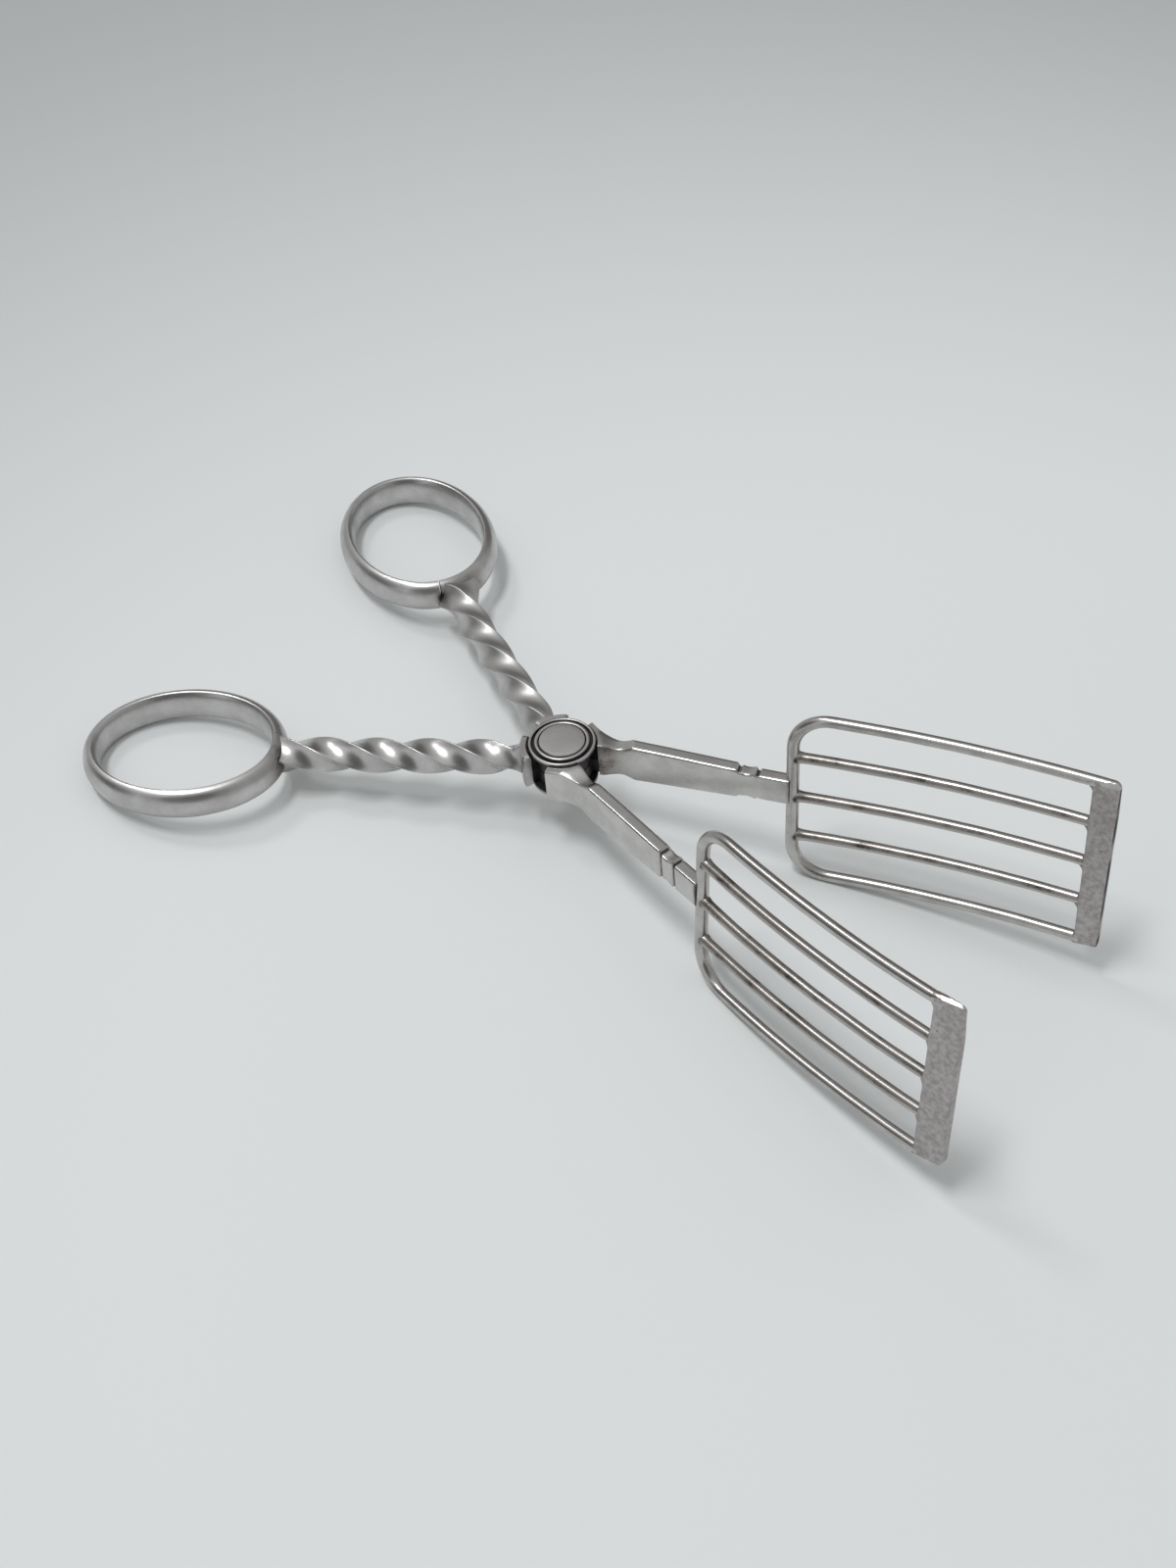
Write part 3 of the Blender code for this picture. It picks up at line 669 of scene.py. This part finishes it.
arm_silver = silver_plate("filed arm silver", ARM_BRIGHT, ARM_DULL, ARM_GLOSS, ARM_WEAR, ARM_MOTTLE)
for arm, side in ARMS.items():
    blade = draw_out(f"blade_{arm}", [arm_section(place, side) for place in arm_stations()])
    bpy.ops.object.mode_set(mode="EDIT")
    bpy.ops.mesh.select_all(action="SELECT")
    radial = (math.sin(SHOULDER_OUTER_ANGLE), -side * math.cos(SHOULDER_OUTER_ANGLE), 0.0)
    bpy.ops.mesh.bisect(plane_co=(0.0, 0.0, 0.0), plane_no=radial, use_fill=True, clear_inner=True)
    bpy.ops.object.mode_set(mode="OBJECT")
    bpy.ops.mesh.primitive_cylinder_add(vertices=HUG_SIDES, radius=HUG_RADIUS, depth=HUG_DEPTH)
    cut_with(blade, bpy.context.object, "DIFFERENCE")
    handle = side * (math.pi + HANDLE_ANGLE - ARM_ANGLE)
    disc = lap_part("lap", RIVET_HOLE, LAP_RADIUS, 0.0, 2 * math.pi, side)
    web_start = side * (SHOULDER_INNER_ANGLE + WEB_MARGIN)
    web_sweep = side * (SHOULDER_OUTER_ANGLE - SHOULDER_INNER_ANGLE - 2 * WEB_MARGIN)
    web = lap_part("web", LAP_RADIUS - LAP_JOINED, SHOULDER_RADIUS - WEB_INSIDE, web_start, web_sweep, side)
    cut_with(disc, web, "UNION")
    tongue_start = handle - side * (COLLAR_SHORT - TONGUE_MARGIN)
    tongue_sweep = side * (COLLAR_SHORT + COLLAR_LONG - 2 * TONGUE_MARGIN)
    tongue = lap_part("tongue", LAP_RADIUS - LAP_JOINED, COLLAR_INSIDE + TONGUE_PAST,
                      tongue_start, tongue_sweep, side)
    cut_with(disc, tongue, "UNION")
    cut_with(blade, disc, "UNION")
    darken(blade, arm_darkening(side))
    settle(blade, Matrix.Rotation(side * ARM_ANGLE, 4, "Z"), arm_silver,
           f"arm_{arm}", "silver_bright", f"jaw_arm_{arm}")


# Grill frames: round silver-plated wire, bent to an upright U and bowed outwards. The back bar
# is soldered to the arm's end block. The lower rail is butted to the end bar, and the upper one runs
# out over the bar's top, filed to a taper with it.
GRILL_ANGLE = math.radians(14.0)
GRILL_LENGTH = 57.7 * MM
GRILL_HEIGHT = 40.2 * MM
GRILL_BOW = 1.4 * MM
GRILL_DROP = 1.6 * MM
GRILL_LEAN = math.radians(4.0)
GRILL_REACH = 46.4 * MM
GRILL_OFFSET = 3.0 * MM
CORNER_RADIUS = 7.5 * MM
FRAME_WIRE = 2.3 * MM
WIRE_ROUND = 36
INNER_WIRES = 3
RAIL_STEPS = 46
CORNER_STEPS = 12
BACK_STEPS = 20
BUTTED_INSIDE = 0.9 * MM
BACK_SWELL = 0.13
BAR_WIDTH = 5.5 * MM
BAR_BACKS = {1: (0.0 * MM, 0.15 * MM), -1: (-0.15 * MM, 0.65 * MM)}
BAR_RISE = {1: 0.0 * MM, -1: 0.65 * MM}
BAR_RISE_REACH = 7.0 * MM
FILED_SIDE = Vector((-0.046, -0.395, 0.918))
FILED_OVER = 0.1 * MM
BAR_FRONTS = {1: (-0.9 * MM, -0.1 * MM), -1: (0.65 * MM, 1.4 * MM)}
BAR_CORNER = 1.4 * MM
BAR_BACK_HALF = 1.08 * MM
BAR_FRONT_HALF = 0.32 * MM
BAR_TAPER_REACH = 9.0 * MM
RUN_OUT_STEPS = 24
RUN_OUT_SHORT = 0.06 * MM
# The upper side of the rails and wires: brown tarnish and a painted dark reflection.
RAIL_DARK_ON_TOP = 0.24
WIRE_DARK_ON_TOP = 0.38
WIRE_DARK_FROM = 1.5 * MM
WIRE_DARK_SOFT = 1.0 * MM
WIRE_APART = 0.5 * MM
DARK_UPWARDS = 0.5
DARK_UPWARDS_REACH = 1.1
STAIN_EVEN = 0.8
STAIN_PATCHES = 0.2
STAIN_PITCH = 160.0
AGED_STAIN = 0.06
AGED_FROM = 8.0 * MM
AGED_REACH = 34.0 * MM
# A painted highlight: along a line facing up and forwards, where the lamp reflects, the dark is left off.
HIGHLIGHT_SIDE = Vector((0.0, -0.334, 0.943))
HIGHLIGHT_SPREAD = 0.10
PAINTED_HIGHLIGHT = 0.60
HIGHLIGHT_LESS_WHERE_AGED = 0.45
RUN_OUT_CLEAN = 0.8
RUN_OUT_CLEAN_REACH = 1.0 * MM
SOLDER_STAIN = 0.75
SOLDER_STAIN_HIGH = 1.9 * MM
SOLDER_STAIN_PLACE = 0.9 * MM
SOLDER_STAIN_LONG = 1.1 * MM
WIRE_BRIGHT = (0.56, 0.545, 0.53)
WIRE_DULL = (0.45, 0.43, 0.415)
WIRE_GLOSS = 0.24
WIRE_WEAR = 0.3
WIRE_MOTTLE = 260.0


def bow(along):
    """How far the grill stands outside its straight line."""
    t = along / GRILL_LENGTH
    return 4.0 * GRILL_BOW * t * (1.0 - t)


def round_sections(path, radii, limits):
    """Round sections along a path in the grill's plane, each filed flat where it passes a limit."""
    sections = []
    for number, (centre, radius, limit) in enumerate(zip(path, radii, limits)):
        ahead = path[min(number + 1, len(path) - 1)] - path[max(number - 1, 0)]
        ahead.normalize()
        out = (across - ahead * ahead.dot(across)).normalized()
        up = ahead.cross(out)
        section = []
        for step in range(WIRE_ROUND):
            t = 2 * math.pi * step / WIRE_ROUND
            aside = max(-limit, min(limit, math.cos(t) * radius))
            section.append(centre + out * aside + up * math.sin(t) * radius)
        sections.append(section)
    return sections


def rounding(left, radius):
    """How far a rounded corner stands back where some length is left to its end."""
    short = min(radius, max(0.0, radius - left))
    return radius - math.sqrt(radius ** 2 - short ** 2)


def stands_off(ends, level):
    """How far the edge of a hand-filed bar stands off at a level, between its bottom and top ends."""
    return ends[0] + (ends[1] - ends[0]) * (level / GRILL_HEIGHT + 0.5)


def rises(side, ahead):
    """How far the rail has risen some way along the bar's top, soon at first and then less."""
    left = 1.0 - min(1.0, max(0.0, ahead / (BAR_WIDTH + BAR_FRONTS[side][1])))
    return BAR_RISE[side] * (1.0 - left ** 2)


def filed_level(ahead, out):
    """How high the flat stands to which the top of a risen rail is filed above the bar."""
    over = FRAME_WIRE / 2 + FILED_OVER - FILED_SIDE.x * ahead - FILED_SIDE.y * out
    return GRILL_HEIGHT / 2 + over / FILED_SIDE.z


def bar_half(ahead, below):
    """Half the end bar's thickness, filed to a taper in front near its top end."""
    thin = BAR_BACK_HALF + (BAR_FRONT_HALF - BAR_BACK_HALF) * min(1.0, max(0.0, ahead / BAR_WIDTH))
    return BAR_BACK_HALF + (thin - BAR_BACK_HALF) * fade(below, BAR_TAPER_REACH)


def frame_path(side):
    """The U of the frame: from the front back along the top rail, down the back bar and forward again."""
    half = GRILL_HEIGHT / 2
    front = GRILL_LENGTH + BAR_WIDTH + BAR_FRONTS[side][1]
    run_out = []
    for step in range(RUN_OUT_STEPS):
        along = front - RUN_OUT_SHORT - (front - RUN_OUT_SHORT - GRILL_LENGTH) * step / RUN_OUT_STEPS
        run_out.append(Vector((along, side * bow(along), half + rises(side, along - GRILL_LENGTH))))
    rail = []
    for step in range(RAIL_STEPS + 1):
        along = GRILL_LENGTH - (GRILL_LENGTH - CORNER_RADIUS) * step / RAIL_STEPS
        rail.append(Vector((along, side * bow(along), half)))
    for step in range(1, CORNER_STEPS):
        turn = math.pi / 2 * step / CORNER_STEPS
        along = CORNER_RADIUS * (1.0 - math.sin(turn))
        rail.append(Vector((along, side * bow(along), half - CORNER_RADIUS * (1.0 - math.cos(turn)))))
    upright = half - CORNER_RADIUS
    back = [Vector((0.0, 0.0, upright - 2 * upright * step / BACK_STEPS))
            for step in range(BACK_STEPS + 1)]
    under = [Vector((point.x, point.y, -point.z)) for point in reversed(rail)]
    butted = Vector((GRILL_LENGTH + BUTTED_INSIDE, side * bow(GRILL_LENGTH + BUTTED_INSIDE), -half))
    return run_out + rail + back + under + [butted]


def grill_seat(side):
    """Where a grill's back bar stands, and how it is turned."""
    start = Matrix.Rotation(side * ARM_ANGLE, 3, "Z") @ Vector((GRILL_REACH, side * GRILL_OFFSET, 0.0))
    start.z = -GRILL_DROP
    turn = Matrix.Rotation(side * GRILL_ANGLE, 4, "Z") @ Matrix.Rotation(-GRILL_LEAN, 4, "X")
    return Matrix.Translation(start) @ turn


def grill_darkening(point, normal):
    """Brown tarnish and a painted dark reflection on top of the rails and wires, left off along a painted
    highlight line, darkest at the solder.
    """
    levels = [GRILL_HEIGHT * (number / (INNER_WIRES + 1) - 0.5) for number in range(1, INNER_WIRES + 1)]
    level = min(abs(point.z - height) for height in levels)
    inner = fade(level - FRAME_WIRE / 2, WIRE_APART) * fade(WIRE_DARK_FROM - point.x, WIRE_DARK_SOFT)
    aged = inner * fade(point.x - AGED_FROM, AGED_REACH)
    # The painted highlight line, weaker where the wires are aged.
    highlight_line = PAINTED_HIGHLIGHT * inner - HIGHLIGHT_LESS_WHERE_AGED * aged
    highlight_line *= fade(1.0 - normal.dot(HIGHLIGHT_SIDE), HIGHLIGHT_SPREAD)
    clean = RUN_OUT_CLEAN * (1.0 - inner) * fade(GRILL_LENGTH - point.x, RUN_OUT_CLEAN_REACH)
    # Tarnish and a painted dark reflection on the upper side.
    dark_on_top = RAIL_DARK_ON_TOP + WIRE_DARK_ON_TOP * inner + AGED_STAIN * aged
    dark_on_top *= STAIN_EVEN + STAIN_PATCHES * noise.noise(point * STAIN_PITCH)
    dark_on_top *= fade(DARK_UPWARDS - normal.z, DARK_UPWARDS_REACH) * (1.0 - highlight_line) * (1.0 - clean)
    joint = SOLDER_STAIN * fade(level, SOLDER_STAIN_HIGH)
    joint *= fade(abs(point.x - SOLDER_STAIN_PLACE), SOLDER_STAIN_LONG)
    return max(dark_on_top, joint)


wire_silver = silver_plate("tarnished wire silver", WIRE_BRIGHT, WIRE_DULL,
                           WIRE_GLOSS, WIRE_WEAR, WIRE_MOTTLE)
for arm, side in ARMS.items():
    path = frame_path(side)
    radii = [FRAME_WIRE / 2 * (1.0 + BACK_SWELL * fade(point.x, CORNER_RADIUS)) for point in path]
    limits = list(radii)
    for number, point in enumerate(path[:RUN_OUT_STEPS]):
        ahead = point.x - GRILL_LENGTH
        radii[number] -= rounding(BAR_WIDTH + BAR_FRONTS[side][1] - ahead, BAR_CORNER)
        limits[number] = bar_half(ahead, 0.0)
    sections = round_sections(path, radii, limits)
    for point, section in zip(path[:RUN_OUT_STEPS], sections):
        for corner in section:
            corner.z = min(corner.z, filed_level(point.x - GRILL_LENGTH, corner.y - point.y))
    hoop = draw_out(f"hoop_{arm}", sections)
    darken(hoop, grill_darkening)
    settle(hoop, grill_seat(side), wire_silver, f"arm_{arm}", "silver_satin", f"grill_frame_{arm}")


# Grill wires: three thinner round wires across each grill, bowed with the frame and soldered to its
# back bar and to the end bar. The solder spreads a little where each one meets the back bar.
INNER_WIRE = 2.2 * MM
FILLET = 0.25 * MM
FILLET_REACH = 0.5 * MM
WIRE_STEPS = 60


def wire_radius(along):
    """A wire's radius, spreading into the solder at the back bar."""
    return INNER_WIRE / 2 + FILLET * math.exp(-max(0.0, along - FRAME_WIRE / 2) / FILLET_REACH)


for arm, side in ARMS.items():
    for number in range(1, INNER_WIRES + 1):
        level = GRILL_HEIGHT * (0.5 - number / (INNER_WIRES + 1))
        half = (GRILL_LENGTH + stands_off(BAR_BACKS[side], level)) / 2
        places = [half * (1.0 - math.cos(math.pi * step / WIRE_STEPS)) for step in range(WIRE_STEPS + 1)]
        path = [Vector((along, side * bow(along), level)) for along in places]
        radii = [wire_radius(along) for along in places]
        wire = draw_out(f"wire_{arm}_{number}", round_sections(path, radii, radii))
        darken(wire, grill_darkening)
        settle(wire, grill_seat(side), wire_silver,
               f"arm_{arm}", "silver_satin", f"grill_wire_{arm}_{number}")


# End bars: flat silver-plated bars that close the front of the grills. Their faces are worn and
# mottled, the top is filed to follow the rail, and the bottom end is cut a little askew.
BAR_EDGE = 0.28 * MM
BAR_LEVELS = 260
BAR_STATIONS = 12
BAR_INSIDE = 0.03 * MM
BAR_ASKEW = {1: 0.5 * MM, -1: 1.3 * MM}
BAR_TOE = {1: 0.3 * MM, -1: 0.8 * MM}
BAR_ASKEW_REACH = 3.0 * MM
UNDER_FILLET = 1.0 * MM
OVER_FILLET = 0.4 * MM
FILLET_THINNER = 0.6
FILED_AT_MOST = 0.9
BAR_BACK_STAIN = 0.45
BAR_BACK_STAIN_REACH = 0.3 * MM
# The front face is darkened as tarnish and painted shade, most on bar a.
BAR_FRONT_TARNISH_AND_SHADE = {1: 0.65, -1: 0.20}
BAR_FRONT_FACING = 0.9
BAR_FRONT_FACING_REACH = 0.6
BAR_PATCHES = 1.2
BAR_PITCH = 150.0
BAR_BRIGHT = (0.48, 0.462, 0.458)
BAR_DULL = (0.345, 0.308, 0.308)
BAR_GLOSS = 0.33
BAR_WEAR = 1.0
BAR_MOTTLE = 900.0


def solder(level):
    """How far the solder reaches from the bar towards the wires at one level."""
    reach = 0.0
    for number in range(INNER_WIRES + 2):
        above = GRILL_HEIGHT * (0.5 - number / (INNER_WIRES + 1)) - level
        gap = abs(above) - INNER_WIRE / 2
        reach = max(reach, rounding(gap, UNDER_FILLET if above > 0.0 else OVER_FILLET))
    return reach


def bar_sections(side):
    """Sections of the bar from its bottom end up to the round top that the rail covers."""
    low = -(GRILL_HEIGHT + FRAME_WIRE) / 2
    crown = FRAME_WIRE / 2 - BAR_INSIDE
    high = GRILL_HEIGHT / 2 + crown - BAR_INSIDE
    sections = []
    for step in range(BAR_LEVELS + 1):
        level = low + (high - low) * math.sin(math.pi / 2 * step / BAR_LEVELS)
        over = max(0.0, level - GRILL_HEIGHT / 2)
        round_half = math.sqrt(crown ** 2 - over ** 2) if over else FRAME_WIRE
        edge = stands_off(BAR_BACKS[side], level)
        front = BAR_WIDTH + stands_off(BAR_FRONTS[side], level)
        front -= rounding(high - level, BAR_CORNER) + rounding(level - low, BAR_TOE[side])
        back = edge + rounding(level - low, BAR_CORNER) - solder(level)
        outline = []
        for station in range(BAR_STATIONS + 1):
            ahead = back + (front - back) * (1.0 - math.cos(math.pi * station / BAR_STATIONS)) / 2
            half = min(bar_half(ahead, high - level), round_half) - rounding(level - low, BAR_EDGE)
            half *= 1.0 - FILLET_THINNER * min(1.0, max(0.0, (edge - ahead) / UNDER_FILLET))
            filed = min(BAR_EDGE, FILED_AT_MOST * half)
            half -= rounding(ahead - back, filed) + rounding(front - ahead, filed)
            lifted = BAR_ASKEW[side] * ahead / BAR_WIDTH * fade(level - low, BAR_ASKEW_REACH)
            risen = rises(side, ahead) * fade(high - level, BAR_RISE_REACH)
            outline.append(Vector((ahead, half, level + lifted + risen)))
        section = outline + [Vector((p.x, -p.y, p.z)) for p in reversed(outline)]
        for corner in section:
            corner.z = min(corner.z, filed_level(corner.x, corner.y) - BAR_INSIDE)
        sections.append(section)
    return sections


def bar_darkening(side):
    """Tarnish of a bar along its back edge, and tarnish with painted shade in patches on its front face."""
    def rule(point, normal):
        # Tarnish and painted shade on the front face, in patches.
        front = BAR_FRONT_TARNISH_AND_SHADE[side] * fade(BAR_FRONT_FACING - normal.x, BAR_FRONT_FACING_REACH)
        front *= 1.0 + BAR_PATCHES * noise.noise(point * BAR_PITCH)
        return max(BAR_BACK_STAIN * fade(point.x, BAR_BACK_STAIN_REACH), front)
    return rule


bar_silver = silver_plate("worn bar silver", BAR_BRIGHT, BAR_DULL, BAR_GLOSS, BAR_WEAR, BAR_MOTTLE)
for arm, side in ARMS.items():
    bar = draw_out(f"bar_{arm}", bar_sections(side))
    darken(bar, bar_darkening(side))
    slope = math.atan2(-side * 4.0 * GRILL_BOW, GRILL_LENGTH)
    seat = grill_seat(side) @ Matrix.Translation((GRILL_LENGTH, 0.0, 0.0))
    seat = seat @ Matrix.Rotation(slope, 4, "Z")
    settle(bar, seat, bar_silver, f"arm_{arm}", "silver_worn", f"end_bar_{arm}")


# Pivot: a rivet through both hub halves, headed over a turned washer above and below. The head is
# a plain, slightly domed disc, and the washer has a raised ring, a groove painted black as shade
# and an outer rim.
HEAD_RADIUS = 4.6 * MM
HEAD_TOP = 5.1 * MM
HEAD_UNDER = 4.4 * MM
HEAD_CROWN = 0.10 * MM
RIVET_RADIUS = 2.0 * MM
WASHER_BASE = 3.7 * MM
WASHER_FLOOR = 4.1 * MM
RAISED_INNER = 4.86 * MM
RAISED_OUTER = 5.50 * MM
RAISED_TOP = 5.0 * MM
RIM_INNER = 6.22 * MM
RIM_OUTER = 6.7 * MM
RIM_TOP = 4.75 * MM
TURNED_STEPS = 128
TURNED_ROUND = 8
TURNED_FLAT = 0.55
CROWN_STEPS = 8
CROWN_START = 0.04 * MM
CROWN_EDGE = ((0.12 * MM, 0.02 * MM), (0.0, 0.16 * MM))
# Painted shade in the turned grooves and under the washers, and a darker rim on the head.
GROOVE_SHADE_HIGH = 0.55 * MM
RIM_MARGIN = 0.05 * MM
UNDER_WASHER_SHADE = 0.9
UNDER_WASHER_SHADE_HIGH = 0.5 * MM
HEAD_EDGE_DARK = 0.35
HEAD_EDGE_DARK_REACH = 0.5 * MM
CAP_BRIGHT = (0.67, 0.658, 0.646)
CAP_DULL = (0.565, 0.553, 0.544)
CAP_GLOSS = 0.27
CAP_WEAR = 0.8
CAP_MOTTLE = 240.0


def turned_over(low, high, floor, top):
    """The round top of a turned ring between two radii, from its inner foot to its outer one."""
    middle = (low + high) / 2
    half = (high - low) / 2
    shape = [(low, floor)]
    for step in range(TURNED_ROUND + 1):
        turn = math.pi * step / TURNED_ROUND
        shape.append((middle - half * math.cos(turn), top - half * TURNED_FLAT * (1.0 - math.sin(turn))))
    return shape + [(high, floor)]


def pivot_darkening(point, normal):
    """Painted shade, black in the turned grooves and under the washers; darker at the rim of the head;
    bright on the disc and the raised rings.
    """
    radius = math.hypot(point.x, point.y)
    height = abs(point.z)
    inside_rim = radius < RIM_OUTER - RIM_MARGIN
    groove_shade = fade(height - WASHER_FLOOR, GROOVE_SHADE_HIGH) if inside_rim else 0.0
    under = UNDER_WASHER_SHADE * fade(height - WASHER_BASE, UNDER_WASHER_SHADE_HIGH)
    return max(groove_shade, under, HEAD_EDGE_DARK * fade(HEAD_RADIUS - radius, HEAD_EDGE_DARK_REACH))


cap_silver = silver_plate("turned cap silver", CAP_BRIGHT, CAP_DULL, CAP_GLOSS, CAP_WEAR, CAP_MOTTLE)
crown = [(CROWN_START, HEAD_TOP + HEAD_CROWN)]
for step in range(1, CROWN_STEPS):
    share = step / CROWN_STEPS
    crown.append((HEAD_RADIUS * share, HEAD_TOP + HEAD_CROWN * (1.0 - share ** 2)))
crown += [(HEAD_RADIUS - inwards, HEAD_TOP - down) for inwards, down in CROWN_EDGE]
crown += [(HEAD_RADIUS, HEAD_UNDER), (RIVET_RADIUS, HEAD_UNDER)]
shaft = crown + [(radius, -height) for radius, height in reversed(crown)]
rivet = turn_part("rivet", shaft, 0.0, 2 * math.pi, TURNED_STEPS)
darken(rivet, pivot_darkening)
settle(rivet, Matrix.Identity(4), cap_silver, "arm_a", "silver_cap", "pivot_rivet")
for name, up in (("top", 1), ("bottom", -1)):
    profile = [(RIVET_HOLE, WASHER_BASE), (RIVET_HOLE, WASHER_FLOOR)]
    profile += turned_over(RAISED_INNER, RAISED_OUTER, WASHER_FLOOR, RAISED_TOP)
    profile += turned_over(RIM_INNER, RIM_OUTER, WASHER_FLOOR, RIM_TOP)[:-1]
    profile += [(RIM_OUTER, WASHER_BASE)]
    washer = turn_part(f"washer_{name}", [(radius, up * height) for radius, height in profile],
                       0.0, 2 * math.pi, TURNED_STEPS)
    darken(washer, pivot_darkening)
    settle(washer, Matrix.Identity(4), cap_silver, "arm_a", "silver_cap", f"pivot_washer_{name}")


# Table: a plain, matt, pale sheet that the tongs lie on, much larger than they are. Its colour is
# painted lightest near the grills and greyer farther off, as a painted pool of light.
TABLE_SIZE = 4.0
TABLE_ROUGHNESS = 0.9
TABLE_COLOUR = (0.815, 0.837, 0.837)
TABLE_SHADED = (0.42, 0.44, 0.445)
TABLE_LIGHT_POOL = (0.12, -0.02, 0.0)
TABLE_NEAR = 0.16
TABLE_FAR = 0.50

bpy.ops.object.select_all(action="DESELECT")
bpy.ops.mesh.primitive_plane_add(size=TABLE_SIZE)
table = bpy.context.object
table.name = "table"
paper = bpy.data.materials.new("pale paper")
paper.use_nodes = True
sheet_start = Signal(paper.node_tree)
spot = sheet_start.node("ShaderNodeTexCoord", {}, {}, "Object")
off = sheet_start.node("ShaderNodeVectorMath", {"operation": "DISTANCE"},
                       {0: spot, 1: TABLE_LIGHT_POOL}, "Value")
# A painted pool of light: the sheet's colour greys away from its lightest place.
light_pool = off.between(TABLE_NEAR, TABLE_FAR).blend(opaque(TABLE_COLOUR), opaque(TABLE_SHADED))
matt = paper.node_tree.nodes["Principled BSDF"]
paper.node_tree.links.new(light_pool.socket, matt.inputs["Base Color"])
matt.inputs["Roughness"].default_value = TABLE_ROUGHNESS
table.data.materials.append(paper)


# Light: a long lamp overhead and a short one to the left of it, in a room that is lightest in front of
# the tongs and darkest low behind them, low on the left and where the photographer stands.
LAMP_DISTANCE = 2.5
LAMPS = (("long lamp", Vector((-0.225, -0.215, 0.95)), 0.75, 0.35, 19.5),
         ("short lamp", Vector((-0.58, 0.02, 0.81)), 0.40, 0.38, 6.5))
LAMP_LINE = Vector((-0.51, 0.86, 0.11))
ROOM_STRENGTH = 0.92
WALLS = (0.48, 0.485, 0.485)
CEILING = (0.66, 0.67, 0.675)
CEILING_RANGE = (0.70, 0.95)
LIGHT_FRONT = (Vector((-0.15, -0.88, 0.42)), (0.78, 0.93), (0.85, 0.87, 0.88))
DIM_BACK = (Vector((-0.32, 0.93, 0.20)), (0.78, 0.94), (0.16, 0.152, 0.147))
PHOTOGRAPHER = (Vector((0.42, -0.78, 0.42)), (0.84, 0.93), (0.13, 0.135, 0.13))
DIM_LEFT = (Vector((-0.68, -0.70, 0.20)), (0.84, 0.95), (0.12, 0.12, 0.12))

for name, up, length, width, power in LAMPS:
    upwards = up.normalized()
    sideways = upwards.cross(LAMP_LINE).normalized()
    bpy.ops.object.light_add(type="AREA", location=upwards * LAMP_DISTANCE)
    lamp = bpy.context.object
    lamp.name = name
    lamp.data.shape = "RECTANGLE"
    lamp.data.size = length
    lamp.data.size_y = width
    lamp.data.energy = power
    lamp.rotation_euler = Matrix((sideways.cross(upwards), sideways, upwards)).transposed().to_euler()
room = bpy.data.worlds.new("room")
room.use_nodes = True
bpy.context.scene.world = room
sky = room.node_tree.nodes["Background"]
air = Signal(room.node_tree)
way = air.node("ShaderNodeTexCoord", {}, {}, "Generated")
height = air.node("ShaderNodeSeparateXYZ", {}, {0: way}, "Z")
glow = height.between(*CEILING_RANGE).blend(opaque(WALLS), opaque(CEILING))
for towards, extent, colour in (LIGHT_FRONT, DIM_BACK, PHOTOGRAPHER, DIM_LEFT):
    facing = air.node("ShaderNodeVectorMath", {"operation": "DOT_PRODUCT"},
                      {0: way, 1: towards.normalized()}, "Value")
    glow = facing.between(*extent).blend(glow, opaque(colour))
room.node_tree.links.new(glow.socket, sky.inputs["Color"])
sky.inputs["Strength"].default_value = ROOM_STRENGTH


# Camera: where the photograph was taken from, in front of the grill on the -Y side and above it,
# looking down and back across the tongs.
CAMERA_PLACE = (0.16576, -0.27450, 0.39272)
CAMERA_TURN = (40.219, -2.754, 35.065)
CAMERA_LENS = 57.34
CAMERA_CLIP = 0.01

turned = [math.radians(angle) for angle in CAMERA_TURN]
bpy.ops.object.camera_add(location=CAMERA_PLACE, rotation=turned)
camera = bpy.context.object
camera.data.lens = CAMERA_LENS
camera.data.clip_start = CAMERA_CLIP
bpy.context.scene.camera = camera
bpy.context.scene.view_settings.view_transform = "Standard"
